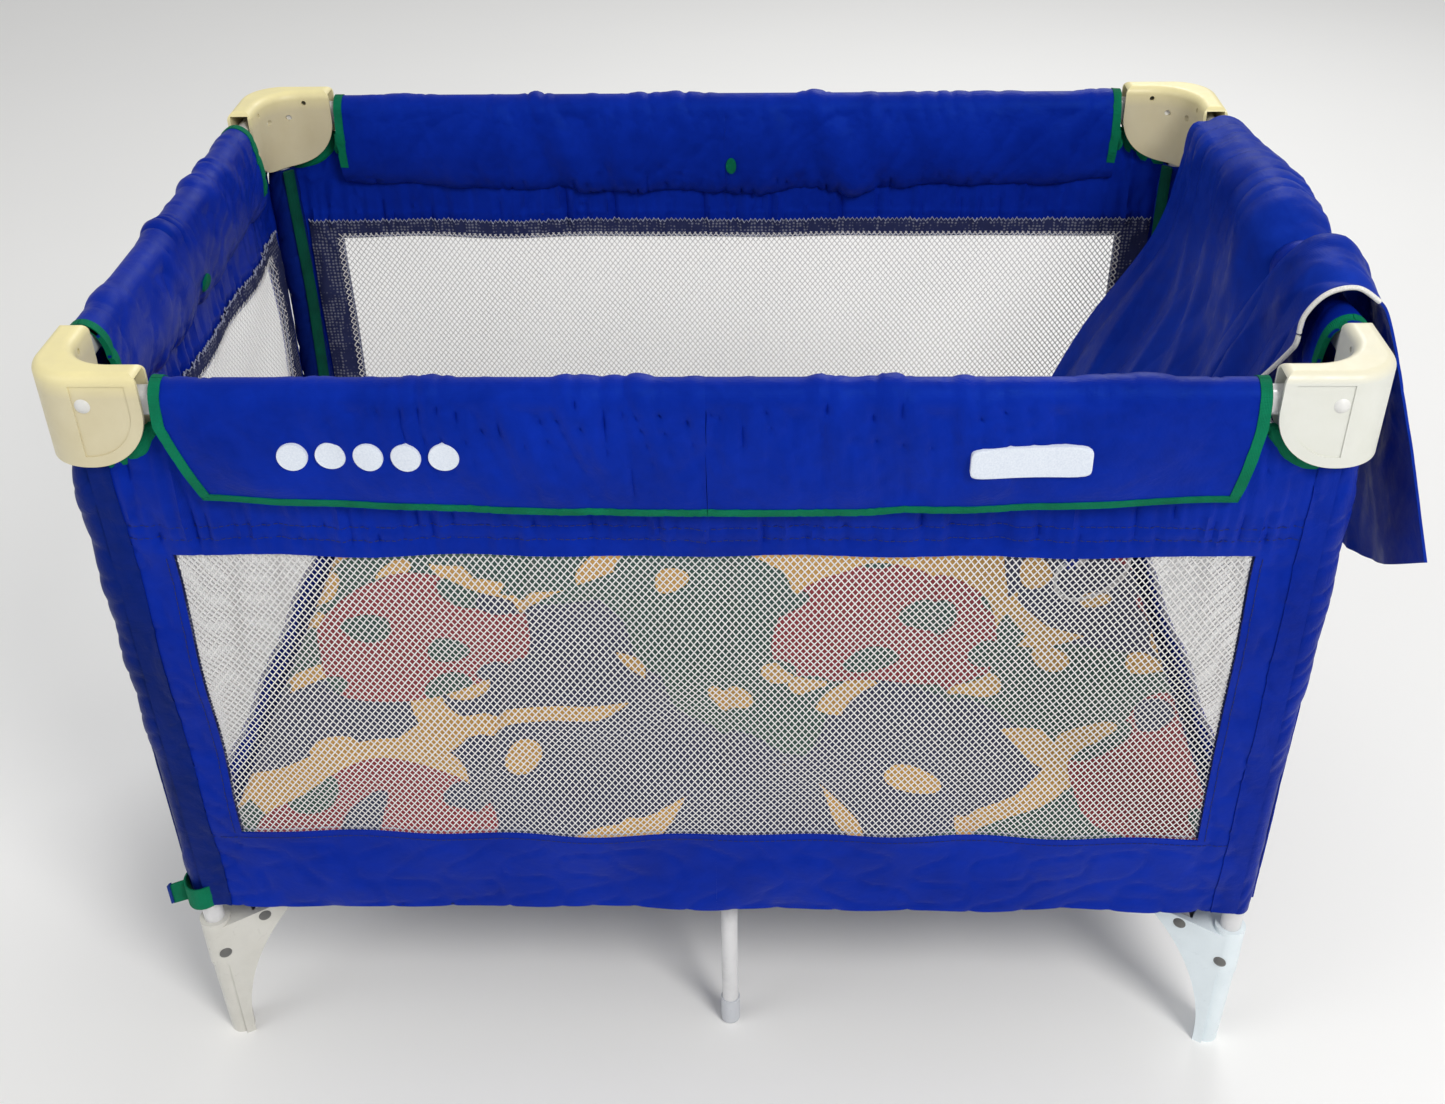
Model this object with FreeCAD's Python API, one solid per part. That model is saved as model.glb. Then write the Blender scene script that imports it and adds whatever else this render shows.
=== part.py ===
import FreeCAD, Part
import math
import os

# Folding travel playpen: four posts, hinged top rails, a folding base with a central hub,
# and soft sides. Millimetres, +Z up, +X to the right, -Y to the front. The origin is on the
# floor under the middle of the frame. Corners are built once, at +X +Y, and mirrored.

V = FreeCAD.Vector

# Overall size, over the faces of the corner caps
LENGTH = 1012.0
WIDTH = 651.0
HEIGHT = 748.0

# Corner caps and top rails
CAP_THICKNESS = 24.0
CAP_WALL = 3.0
CAP_ROOF = 4.0
CAP_BOTTOM = 670.0
CAP_WING = 89.0
CAP_OUTER_RADIUS = 40.0
CAP_INNER_RADIUS = 40.0
CAP_WING_END_RADIUS = 48.0
CAP_EDGE_RADIUS = 8.0
CAP_RIM = 9.0
CAP_FACE_RECESS = 1.2
RAIL_Z = 722.0
RAIL_WIDTH = 14.0
RAIL_DEPTH = 24.0
RAIL_WALL = 1.2
RAIL_PIVOT_INSET = 45.0
LATCH_PIN_X = 45.0

# Posts, sleeves and pins
POST_INSET = 27.0
POST_RADIUS = 9.5
POST_WALL = 1.5
POST_BOTTOM = 62.0
POST_TOP = 705.0
SLEEVE_RADIUS = 16.5
SLEEVE_BORE = 11.0
SLEEVE_BOTTOM = 181.0
SLEEVE_TOP = 664.0
PIN_RADIUS = 3.0
RUNNING_CLEARANCE = 0.05
OPEN_PIVOT_CLEARANCE = 1.0
RIVET_HEAD_RADIUS = 6.0
RIVET_HEAD_HEIGHT = 2.5

# Base frame, hub and feet
BASE_Z = 146.0
BASE_TUBE_RADIUS = 8.0
TUBE_WALL = 1.2
FOOT_PIVOT_OFFSET = 43.0
FOOT_FIX_Z = 117.0
FOOT_THICKNESS = 28.0
FOOT_COLLAR_TOP = 155.0
FOOT_SLOT_WIDTH = 17.2
HUB_RADIUS = 82.0
HUB_BOTTOM = 126.0
HUB_TOP = 176.0
HUB_SLOT_ROOF = 166.0
MID_LEG_X = 10.0
MID_LEG_PIVOT_Y = 62.0
MID_LEG_PIVOT_Z = 156.0
MID_LEG_FOOT_Y = 286.0
MID_LEG_BEND = 30.0
MID_LEG_TIP_RADIUS = 9.3
MID_LEG_TIP_TOP = 34.0

# Soft goods
PANEL_INSET = 10.5
PANEL_THICKNESS = 3.0
PANEL_BOTTOM = 191.0
PANEL_TOP = 629.0
WINDOW_BOTTOM = 279.0
SHORT_WINDOW_BOTTOM = 222.0
WINDOW_TOP = 582.0
WINDOW_SIDE_BAND = 35.0
COVER_HALF_WIDTH = 17.0
COVER_CAVITY_HALF_WIDTH = 11.0
COVER_BOTTOM = 632.0
COVER_TOP = 739.0
COVER_CAVITY_BOTTOM = 642.0
COVER_CAVITY_TOP = 735.0
COVER_TOP_RADIUS = 13.0
COVER_CAVITY_RADIUS = 2.5
COVER_END_GAP = 12.0
FLOOR_CLOTH_BOTTOM = 187.0
FLOOR_CLOTH_THICKNESS = 2.5
MATTRESS_BOTTOM = 192.0
MATTRESS_THICKNESS = 22.0
MATTRESS_LENGTH = 950.0
MATTRESS_WIDTH = 568.0
BAG_THICKNESS = 7.0
DRAWSTRING_DIAMETER = 4.0
TAB_BOTTOM = 184.0
TAB_WIDTH = 25.0
TAB_TAIL = 22.0

# Places worked out from the driving dimensions
HALF_X = LENGTH / 2
HALF_Y = WIDTH / 2
POST = V(HALF_X - POST_INSET, HALF_Y - POST_INSET, 0)
RAIL_INSET = CAP_THICKNESS / 2
LONG_PIVOT_X = HALF_X - RAIL_PIVOT_INSET
SHORT_PIVOT_Y = HALF_Y - RAIL_PIVOT_INSET
LONG_RAIL = LONG_PIVOT_X - LATCH_PIN_X
SHORT_RAIL = SHORT_PIVOT_Y - LATCH_PIN_X
# The base tube is as long as the two half rails' resultant, and runs along it in plan, so
# that rails and base fold by the same angle.
BASE_TUBE = math.hypot(LONG_RAIL, SHORT_RAIL)
DIAGONAL_ANGLE = math.degrees(math.atan2(SHORT_RAIL, LONG_RAIL))

SIDES = {"left": -1, "right": 1}
ENDS = {"front": -1, "rear": 1}


def box(low, high):
    """Block between two opposite corners."""
    return Part.makeBox(high[0] - low[0], high[1] - low[1], high[2] - low[2], V(*low))


def rod(radius, start, end):
    """Round bar between two points."""
    return Part.makeCylinder(radius, (end - start).Length, start, end - start)


def prism(edges, direction):
    """Solid swept straight from a closed outline."""
    return Part.Face(Part.Wire(Part.__sortEdges__(edges))).extrude(direction)


def line(a, b):
    return Part.makeLine(a, b)


def arc(a, middle, b):
    return Part.Arc(a, middle, b).toShape()


def obround(length, height, thickness, start):
    """Slot-shaped plate lying along X, seen from Y, between end centres start and start + length."""
    radius = height / 2
    half = V(0, thickness / 2, 0)
    plate = box((0, -thickness / 2, -radius), (length, thickness / 2, radius))
    for x in (0, length):
        plate = plate.fuse(rod(radius, V(x, 0, 0) - half, V(x, 0, 0) + half))
    plate.translate(start)
    return plate.removeSplitter()


def round_corner(x, z, radius, y0, y1):
    """What is cut away, seen along Y, to round a lower left corner at (x, z)."""
    block = box((x - 1, y0, z - 1), (x + radius, y1, z + radius))
    centre_x, centre_z = x + radius, z + radius
    return block.cut(rod(radius, V(centre_x, y0 - 1, centre_z), V(centre_x, y1 + 1, centre_z)))


def to_diagonal(shape):
    """Carry a shape from the post's diagonal frame (X runs inward from the post) into place."""
    shape.rotate(V(0, 0, 0), V(0, 0, 1), DIAGONAL_ANGLE + 180)
    shape.translate(POST)
    return shape


def at_corner(shape, side, end):
    """Mirror a shape built at the right rear corner to another corner."""
    if side < 0:
        shape = shape.mirror(V(0, 0, 0), V(1, 0, 0))
    if end < 0:
        shape = shape.mirror(V(0, 0, 0), V(0, 1, 0))
    return shape


def turned_to_side(shape):
    """Swap X and Y of a shape, for the pieces of the short rails."""
    return shape.mirror(V(0, 0, 0), V(1, -1, 0))


def save(name, *solids):
    """Write one sub-part, as one solid or a group of separate solids."""
    shape = solids[0] if len(solids) == 1 else Part.makeCompound(list(solids))
    for solid in shape.Solids:
        if not solid.isValid():
            print("not valid:", name)
    shape.exportStep("parts/" + name + ".step")


# ---------------------------------------------------------------- corners

def corner_post():
    """Round steel tube standing in the foot and held by the cap."""
    bottom = POST + V(0, 0, POST_BOTTOM)
    top = POST + V(0, 0, POST_TOP)
    tube = rod(POST_RADIUS, bottom, top).cut(rod(POST_RADIUS - POST_WALL, bottom, top))
    hole = rod(PIN_RADIUS, V(0, -FOOT_THICKNESS, FOOT_FIX_Z), V(0, FOOT_THICKNESS, FOOT_FIX_Z))
    return tube.cut(to_diagonal(hole))


def corner_cap():
    """L-shaped moulding, open below and at its wing ends so that the rails can swing down."""
    x, y = HALF_X, HALF_Y
    inner_x, inner_y = x - CAP_THICKNESS, y - CAP_THICKNESS
    big, small = CAP_OUTER_RADIUS, CAP_INNER_RADIUS
    s = math.sqrt(0.5)
    z = CAP_BOTTOM

    def p(a, b):
        return V(a, b, z)

    outline = [
        line(p(x - CAP_WING, inner_y), p(inner_x - small, inner_y)),
        arc(p(inner_x - small, inner_y),
            p(inner_x - small + small * s, inner_y - small + small * s),
            p(inner_x, inner_y - small)),
        line(p(inner_x, inner_y - small), p(inner_x, y - CAP_WING)),
        line(p(inner_x, y - CAP_WING), p(x, y - CAP_WING)),
        line(p(x, y - CAP_WING), p(x, y - big)),
        arc(p(x, y - big), p(x - big + big * s, y - big + big * s), p(x - big, y)),
        line(p(x - big, y), p(x - CAP_WING, y)),
        line(p(x - CAP_WING, y), p(x - CAP_WING, inner_y)),
    ]
    cap = prism(outline, V(0, 0, HEIGHT - CAP_BOTTOM))
    top_edges = [e for e in cap.Edges if e.BoundBox.ZMin > HEIGHT - 0.1]
    cap = cap.makeFillet(CAP_EDGE_RADIUS, top_edges)

    roof = HEIGHT - CAP_ROOF
    for swap in (False, True):
        corner_x, face_y = (y, x) if swap else (x, y)
        end_x = corner_x - CAP_WING
        rail_end = (SHORT_PIVOT_Y if swap else LONG_PIVOT_X) + RAIL_DEPTH / 2 + 1
        corner = round_corner(end_x, z, CAP_WING_END_RADIUS, face_y - 60, face_y + 1)
        rim = CAP_RIM
        recess = box((end_x + rim, face_y - CAP_FACE_RECESS, z + rim),
                     (corner_x - big + 2, face_y + 1, HEIGHT - rim))
        recess = recess.cut(round_corner(end_x + rim, z + rim, CAP_WING_END_RADIUS - rim,
                                         face_y - 60, face_y + 2))
        channel = box((end_x - 1, face_y - CAP_THICKNESS + CAP_WALL, z - 1),
                      (rail_end, face_y - CAP_WALL, roof))
        pin = rod(PIN_RADIUS + RUNNING_CLEARANCE, V(rail_end - 13, face_y - 40, RAIL_Z),
                  V(rail_end - 13, face_y + 1, RAIL_Z))
        sink = rod(2.5, V(rail_end - 30, face_y - 40, RAIL_Z + 14),
                   V(rail_end - 30, face_y - CAP_THICKNESS + CAP_WALL + 1, RAIL_Z + 14))
        for tool in (corner, recess, channel, pin, sink):
            cap = cap.cut(turned_to_side(tool) if swap else tool)
    bore = rod(POST_RADIUS + RUNNING_CLEARANCE, POST + V(0, 0, z - 1), POST + V(0, 0, POST_TOP + 1))
    return cap.cut(bore)


def rivet(start, head):
    """Rivet from start to the face at head, with a domed head outside."""
    out = (head - start).normalize()
    ball = (RIVET_HEAD_RADIUS ** 2 + RIVET_HEAD_HEIGHT ** 2) / (2 * RIVET_HEAD_HEIGHT)
    dome = Part.makeSphere(ball, head + out * (RIVET_HEAD_HEIGHT - ball))
    dome = dome.common(rod(3 * ball, head + out * RUNNING_CLEARANCE, head + out * 3 * ball))
    return rod(PIN_RADIUS, start, head + out * RUNNING_CLEARANCE).fuse(dome)


def corner_rivets():
    """Two rail pivots in the cap and two cross pins in the foot."""
    tail = CAP_THICKNESS + 2
    head_x, head_y = HALF_X - CAP_FACE_RECESS, HALF_Y - CAP_FACE_RECESS
    pieces = [
        rivet(V(LONG_PIVOT_X, HALF_Y - tail, RAIL_Z), V(LONG_PIVOT_X, head_y, RAIL_Z)),
        rivet(V(HALF_X - tail, SHORT_PIVOT_Y, RAIL_Z), V(head_x, SHORT_PIVOT_Y, RAIL_Z)),
    ]
    cheek = FOOT_THICKNESS / 2
    for t, z in ((0, FOOT_FIX_Z), (FOOT_PIVOT_OFFSET, BASE_Z)):
        both_ends = rivet(V(t, 0, z), V(t, cheek, z)).fuse(rivet(V(t, 0, z), V(t, -cheek, z)))
        pieces.append(to_diagonal(both_ends))
    return pieces


def corner_foot():
    """Moulded foot: a collar for the post and a fin whose slot takes the base tube."""
    half = FOOT_THICKNESS / 2

    def p(t, z):
        return V(t, -half, z)

    outline = [
        line(p(0, 0), p(9, 0)),
        arc(p(9, 0), p(23, 82), p(67, 146)),
        line(p(67, 146), p(62, 155)),
        line(p(62, 155), p(0, 150)),
        line(p(0, 150), p(0, 0)),
    ]
    foot = prism(outline, V(0, FOOT_THICKNESS, 0))
    nose = Part.makeCone(half - 3, half, 150)
    collar = rod(half, V(0, 0, 100), V(0, 0, FOOT_COLLAR_TOP))
    foot = foot.fuse([nose, collar]).removeSplitter()
    slot_start = FOOT_PIVOT_OFFSET - BASE_TUBE_RADIUS - 1.5
    slot = box((slot_start, -FOOT_SLOT_WIDTH / 2, BASE_Z - BASE_TUBE_RADIUS - 1),
               (120, FOOT_SLOT_WIDTH / 2, 170))
    bore = rod(POST_RADIUS + RUNNING_CLEARANCE, V(0, 0, POST_BOTTOM - 1), V(0, 0, 170))
    foot = foot.cut([slot, bore])
    for t, z in ((0, FOOT_FIX_Z), (FOOT_PIVOT_OFFSET, BASE_Z)):
        foot = foot.cut(rod(PIN_RADIUS + RUNNING_CLEARANCE, V(t, -half - 1, z), V(t, half + 1, z)))
    return to_diagonal(foot)


def post_sleeve():
    """Fabric sleeve round the post."""
    bottom = POST + V(0, 0, SLEEVE_BOTTOM)
    top = POST + V(0, 0, SLEEVE_TOP)
    return rod(SLEEVE_RADIUS, bottom, top).cut(rod(SLEEVE_BORE, bottom, top))


def base_tube():
    """Diagonal tube from the foot's pivot to the hub's pivot, rounded at both ends."""
    start = V(FOOT_PIVOT_OFFSET, 0, BASE_Z)
    end = start + V(BASE_TUBE, 0, 0)
    over = V(BASE_TUBE_RADIUS, 0, 0)
    tube = rod(BASE_TUBE_RADIUS, start - over, end + over)
    tube = tube.common(obround(BASE_TUBE, 2 * BASE_TUBE_RADIUS, 3 * BASE_TUBE_RADIUS, start))
    tube = tube.cut(rod(BASE_TUBE_RADIUS - TUBE_WALL, start - over, end + over))
    for centre in (start, end):
        across = V(0, 2 * BASE_TUBE_RADIUS, 0)
        tube = tube.cut(rod(PIN_RADIUS + RUNNING_CLEARANCE, centre - across, centre + across))
    return to_diagonal(tube)


# ---------------------------------------------------------------- hub and mid legs

def hub_pin(extra):
    """Pin of one base tube in the hub; extra lengthens it for cutting."""
    centre = V(FOOT_PIVOT_OFFSET + BASE_TUBE, 0, BASE_Z)
    across = V(0, BASE_TUBE_RADIUS + 5 + extra, 0)
    return to_diagonal(rod(PIN_RADIUS + extra * 0.001, centre - across, centre + across))


def hub_slot():
    """Room for one base tube to swing down out of the hub."""
    inner = FOOT_PIVOT_OFFSET + BASE_TUBE + BASE_TUBE_RADIUS + 1.5
    half = BASE_TUBE_RADIUS + 0.6
    return to_diagonal(box((inner - 120, -half, HUB_BOTTOM - 5), (inner, half, HUB_SLOT_ROOF)))


def mid_leg_pin(extra):
    centre = V(MID_LEG_X, MID_LEG_PIVOT_Y, MID_LEG_PIVOT_Z)
    across = V(BASE_TUBE_RADIUS + 3 + extra, 0, 0)
    return rod(PIN_RADIUS + extra * 0.001, centre - across, centre + across)


def mid_leg_slot():
    half = BASE_TUBE_RADIUS + 0.6
    inner = MID_LEG_PIVOT_Y - BASE_TUBE_RADIUS - 1.5
    return box((MID_LEG_X - half, inner, HUB_BOTTOM - 5), (MID_LEG_X + half, inner + 120, HUB_SLOT_ROOF))


def hub_housing():
    """Moulded hub, open below, with a slot for each of its four tubes and two legs."""
    hub = rod(HUB_RADIUS, V(0, 0, HUB_BOTTOM), V(0, 0, HUB_TOP))
    rims = [e for e in hub.Edges if e.BoundBox.ZLength < 0.1]
    hub = hub.makeFillet(4.0, rims)
    cuts = [rod(12.0, V(0, 0, HUB_BOTTOM - 1), V(0, 0, HUB_TOP + 1))]
    for side in SIDES.values():
        for end in ENDS.values():
            cuts += [at_corner(hub_slot(), side, end), at_corner(hub_pin(2), side, end)]
    for leg in (mid_leg_slot(), mid_leg_pin(2)):
        cuts += [at_corner(leg, -1, 1), at_corner(leg, 1, -1)]
    for tool in cuts:
        hub = hub.cut(tool)
    return hub


def hub_pins():
    pins = [at_corner(hub_pin(0), side, end) for side in SIDES.values() for end in ENDS.values()]
    return pins + [at_corner(mid_leg_pin(0), -1, 1), at_corner(mid_leg_pin(0), 1, -1)]


def pull_strap():
    """Loop of webbing on top of the hub, for pulling the base up."""
    length, height, width, thick = 100.0, 6.0, 25.0, 1.5
    start = V(-length / 2, 0, HUB_TOP + 0.5 + height / 2)
    return obround(length, height, width, start).cut(obround(length, height - 2 * thick, width + 2, start))


def leg_path(bottom):
    """Centre line of a mid leg: out from the hub, round the bend and down."""
    x, y, z, r = MID_LEG_X, MID_LEG_FOOT_Y, MID_LEG_PIVOT_Z, MID_LEG_BEND
    s = math.sqrt(0.5)
    start = V(x, MID_LEG_PIVOT_Y - BASE_TUBE_RADIUS, z)
    bend_start = V(x, y - r, z)
    bend_end = V(x, y, z - r)
    middle = V(x, y - r + r * s, z - r + r * s)
    return Part.Wire([line(start, bend_start), arc(bend_start, middle, bend_end),
                      line(bend_end, V(x, y, bottom))])


def leg_bar(radius, bottom):
    start = V(MID_LEG_X, MID_LEG_PIVOT_Y - BASE_TUBE_RADIUS, MID_LEG_PIVOT_Z)
    ring = Part.Wire(Part.makeCircle(radius, start, V(0, 1, 0)))
    return leg_path(bottom).makePipeShell([ring], True, False)


def mid_leg():
    """Bent tube that props the hub on the floor halfway along each long side."""
    leg = leg_bar(BASE_TUBE_RADIUS, 8.0).cut(leg_bar(BASE_TUBE_RADIUS - TUBE_WALL, 7.0))
    x, y, z = MID_LEG_X, MID_LEG_PIVOT_Y, MID_LEG_PIVOT_Z
    r = BASE_TUBE_RADIUS
    square_end = box((x - 2 * r, y - r - 1, z - 2 * r), (x + 2 * r, y, z + 2 * r))
    square_end = square_end.cut(rod(r, V(x - 3 * r, y, z), V(x + 3 * r, y, z)))
    hole = rod(PIN_RADIUS + RUNNING_CLEARANCE, V(x - 2 * r, y, z), V(x + 2 * r, y, z))
    return leg.cut(square_end).cut(hole)


def mid_leg_tip():
    """Moulded tip on the leg's end."""
    x, y = MID_LEG_X, MID_LEG_FOOT_Y
    tip = rod(MID_LEG_TIP_RADIUS, V(x, y, 0), V(x, y, MID_LEG_TIP_TOP))
    tip = tip.makeFillet(5.0, [e for e in tip.Edges if e.BoundBox.ZMax < 0.1])
    return tip.cut(rod(BASE_TUBE_RADIUS + 0.02, V(x, y, 7.9), V(x, y, MID_LEG_TIP_TOP + 1)))


# ---------------------------------------------------------------- top rails

def rail_half(pivot, offset, latch_hole_radius):
    """Flattened tube from the latch pin to the cap's rivet, along X at y = offset."""
    length = pivot - LATCH_PIN_X
    start = V(LATCH_PIN_X, offset, RAIL_Z)
    r = RAIL_DEPTH / 2

    def section(width, depth):
        spread = (depth - width) / 2
        x0, x1 = LATCH_PIN_X - r, pivot + r
        bar = box((x0, offset - width / 2, RAIL_Z - spread), (x1, offset + width / 2, RAIL_Z + spread))
        for z in (RAIL_Z - spread, RAIL_Z + spread):
            bar = bar.fuse(rod(width / 2, V(x0, offset, z), V(x1, offset, z)))
        return bar.removeSplitter()

    rail = section(RAIL_WIDTH, RAIL_DEPTH)
    rail = rail.common(obround(length, RAIL_DEPTH, 2 * RAIL_WIDTH, start))
    rail = rail.cut(section(RAIL_WIDTH - 2 * RAIL_WALL, RAIL_DEPTH - 2 * RAIL_WALL))
    for x, radius in ((LATCH_PIN_X, latch_hole_radius), (pivot, PIN_RADIUS + RUNNING_CLEARANCE)):
        rail = rail.cut(rod(radius, V(x, offset - 20, RAIL_Z), V(x, offset + 20, RAIL_Z)))
    return rail


LATCH_HALF_LENGTH = LATCH_PIN_X + 14.0
LATCH_HALF_WIDTH = 10.0
LATCH_CHANNEL_HALF_WIDTH = 7.7
LATCH_FLOOR = -16.0


def rail_latch(offset):
    """Channel that joins two half rails, open above, with the two pins that they turn on."""
    w, c = LATCH_HALF_WIDTH, LATCH_CHANNEL_HALF_WIDTH
    long = LATCH_HALF_LENGTH
    housing = box((-long, -w, LATCH_FLOOR), (long, w, 12))
    upright = [e for e in housing.Edges if abs(e.BoundBox.YLength - 2 * w) < 0.1 and e.BoundBox.ZMin > 11]
    housing = housing.makeFillet(10.0, upright)
    block = box((-30, -c, LATCH_FLOOR + 1), (30, c, 8))
    housing = housing.cut(box((-long - 1, -c, LATCH_FLOOR + 2.5), (long + 1, c, 13))).fuse(block)
    housing = housing.cut(box((-12.6, -6.6, LATCH_FLOOR - 1), (12.6, 6.6, 3)))
    pins = []
    for x in (-LATCH_PIN_X, LATCH_PIN_X):
        housing = housing.cut(rod(PIN_RADIUS + 0.02, V(x, -w - 1, 0), V(x, w + 1, 0)))
        pins.append(rod(PIN_RADIUS, V(x, -w, 0), V(x, w, 0)))
    for piece in [housing] + pins:
        piece.translate(V(0, offset, RAIL_Z))
    return [housing] + pins


def latch_button(offset):
    """Release button under the middle of the rail; it travels up."""
    button = box((-12, -6, -22), (12, 6, -4))
    button = button.makeFillet(2.0, [e for e in button.Edges if e.BoundBox.ZMax < -21])
    button.translate(V(0, offset, RAIL_Z))
    return button


# ---------------------------------------------------------------- soft goods

def side_panel(half_length, plane, window_bottom):
    """Fabric border and its mesh window, standing along X at y = plane."""
    inner, outer = plane - PANEL_THICKNESS, plane
    window_half = half_length - WINDOW_SIDE_BAND
    border = box((-half_length, inner, PANEL_BOTTOM), (half_length, outer, PANEL_TOP))
    window = box((-window_half, inner, window_bottom), (window_half, outer, WINDOW_TOP))
    border = border.cut(window)
    mesh = box((-window_half, inner + 1, window_bottom), (window_half, outer - 1, WINDOW_TOP))
    return [border, mesh]


def rail_cover(half_length, offset):
    """Padded cover round both halves of one rail."""
    w, c = COVER_HALF_WIDTH, COVER_CAVITY_HALF_WIDTH
    cover = box((-half_length, offset - w, COVER_BOTTOM), (half_length, offset + w, COVER_TOP))
    top = [e for e in cover.Edges if e.BoundBox.ZMin > COVER_TOP - 0.1 and e.BoundBox.XLength > half_length]
    cover = cover.makeFillet(COVER_TOP_RADIUS, top)
    cavity = box((-half_length - 1, offset - c, COVER_CAVITY_BOTTOM),
                 (half_length + 1, offset + c, COVER_CAVITY_TOP))
    inner_top = [e for e in cavity.Edges
                 if e.BoundBox.ZMin > COVER_CAVITY_TOP - 0.1 and e.BoundBox.XLength > half_length]
    return cover.cut(cavity.makeFillet(COVER_CAVITY_RADIUS, inner_top))


def floor_cloth():
    """Cloth floor over the base frame, notched at the corners for the posts."""
    z0 = FLOOR_CLOTH_BOTTOM
    z1 = z0 + FLOOR_CLOTH_THICKNESS
    x_in, y_in = HALF_X - 48, HALF_Y - 48
    x_out, y_out = HALF_X - 16, HALF_Y - 16
    along = box((-x_out, -y_in, z0), (x_out, y_in, z1))
    return along.fuse(box((-x_in, -y_out, z0), (x_in, y_out, z1))).removeSplitter()


def mattress():
    """Thin folding mattress pad, with rounded corners."""
    x, y = MATTRESS_LENGTH / 2, MATTRESS_WIDTH / 2
    pad = box((-x, -y, MATTRESS_BOTTOM), (x, y, MATTRESS_BOTTOM + MATTRESS_THICKNESS))
    upright = [e for e in pad.Edges if e.BoundBox.ZLength > MATTRESS_THICKNESS - 0.1]
    return pad.makeFillet(30.0, upright)


def carry_bag():
    """Empty storage bag hung over the right-hand rail: a thick cloth bent over it.

    Each section is (y, inner hem x and z, outer hem x and z, height of the fold over the rail).
    The front corner of the outer half flares forward past the corner cap.
    """
    sections = [
        (-212, 464, 700, 545, 492, 758),
        (-120, 430, 600, 551, 478, 768),
        (-50, 361, 381, 553, 474, 774),
        (25, 352.5, 381, 552, 478, 772),
        (105, 352, 400, 549, 490, 767),
        (165, 352, 425, 546, 505, 760),
        (212, 353, 440, 543, 520, 755),
    ]
    t = BAG_THICKNESS
    rail = HALF_X - RAIL_INSET
    shoulder_in, shoulder_out = (rail - 28, 748), (rail + 42, 736)
    wires = []
    for y, in_x, in_z, out_x, out_z, crown in sections:
        knee = (0.45 * in_x + 0.55 * shoulder_in[0] - 4, 0.5 * (in_z + shoulder_in[1]))
        under = [(in_x, in_z), knee, shoulder_in, (rail - 14, crown - t),
                 (rail + 24, crown - t), shoulder_out, (out_x, out_z)]
        over = [(in_x - t, in_z), (knee[0] - t, knee[1] + 1), (shoulder_in[0] - t, 752), (rail - 16, crown),
                (rail + 26, crown), (shoulder_out[0] + t, 740), (out_x + t, out_z)]
        points = [V(x, y, z) for x, z in under + over[::-1]]
        wires.append(Part.makePolygon(points + [points[0]]))
    body = Part.makeLoft(wires, True, True)

    y, _, _, out_x, out_z, _ = sections[0]
    root = [shoulder_out, (out_x, out_z), (out_x + t, out_z), (shoulder_out[0] + t, 740)]
    tip = [(549, 640), (555, 575), (562, 575), (556, 642)]
    flare_wires = []
    for plane, outline in ((y, root), (-300, tip)):
        points = [V(x, plane, z) for x, z in outline]
        flare_wires.append(Part.makePolygon(points + [points[0]]))
    flare = Part.makeLoft(flare_wires, True, True)
    return body.fuse(flare)


DRAWSTRING_ROUTE = [
    V(353.0, -10.0, 381.0),
    V(353.0, -10.0, 368.0),
    V(338.0, -13.0, 357.0),
    V(336.0, -20.0, 340.0),
    V(350.0, -28.0, 331.0),
    V(368.0, -36.0, 340.0),
    V(388.0, -46.0, 361.0),
    V(399.0, -56.0, 389.0),
    V(395.0, -61.0, 419.0),
    V(380.4, -62.6, 438.2),
]


def cord_path(route):
    """Straight runs joined by tangent arcs, each as large as its two runs allow."""
    edges = []
    radii = []
    here = route[0]
    for before, corner, after in zip(route, route[1:], route[2:]):
        to_before = before - corner
        to_after = after - corner
        reach = 0.45 * min(to_before.Length, to_after.Length)
        turn = math.pi - to_before.getAngle(to_after)
        radii.append(reach / math.tan(turn / 2))
        a = corner + to_before.normalize() * reach
        b = corner + to_after.normalize() * reach
        bisector = (to_before + to_after).normalize()
        to_centre = math.hypot(reach, radii[-1])
        middle = corner + bisector * (to_centre - radii[-1])
        edges += [line(here, a), arc(a, middle, b)]
        here = b
    edges.append(line(here, route[-1]))
    return Part.Wire(edges), radii


def drawstring():
    """Loop of cord that hangs out of the bag's hem."""
    path, radii = cord_path(DRAWSTRING_ROUTE)
    print("drawstring radii:", [round(r, 1) for r in radii], "length:", round(path.Length, 1))
    start = DRAWSTRING_ROUTE[0]
    ring = Part.Wire(Part.makeCircle(DRAWSTRING_DIAMETER / 2, start, DRAWSTRING_ROUTE[1] - start))
    tube = path.makePipeShell([ring], True, False)
    print("drawstring volume ratio:", tube.Volume / (path.Length * math.pi * DRAWSTRING_DIAMETER ** 2 / 4))
    return tube


def webbing_tab():
    """Closing tab of webbing looped round the foot of one sleeve."""
    inner = SLEEVE_RADIUS + 0.3
    low, high = TAB_BOTTOM, TAB_BOTTOM + TAB_WIDTH
    ring = rod(inner + 1.6, POST + V(0, 0, low), POST + V(0, 0, high))
    ring = ring.cut(rod(inner, POST + V(0, 0, low - 1), POST + V(0, 0, high + 1)))
    x = POST.x + inner + 0.5
    tail = box((x, POST.y - 2, low + 1), (x + TAB_TAIL, POST.y, high - 1))
    return ring.fuse(tail).removeSplitter()


# ---------------------------------------------------------------- assembly

os.makedirs("parts", exist_ok=True)

for end_name, end in ENDS.items():
    for side_name, side in SIDES.items():
        corner_name = "_" + end_name + "_" + side_name
        save("corner_post" + corner_name, at_corner(corner_post(), side, end))
        save("corner_cap" + corner_name, at_corner(corner_cap(), side, end))
        save("corner_rivets" + corner_name, *[at_corner(r, side, end) for r in corner_rivets()])
        save("corner_foot" + corner_name, at_corner(corner_foot(), side, end))
        save("post_sleeve" + corner_name, at_corner(post_sleeve(), side, end))
        save("base_tube" + corner_name, at_corner(base_tube(), side, end))

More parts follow.
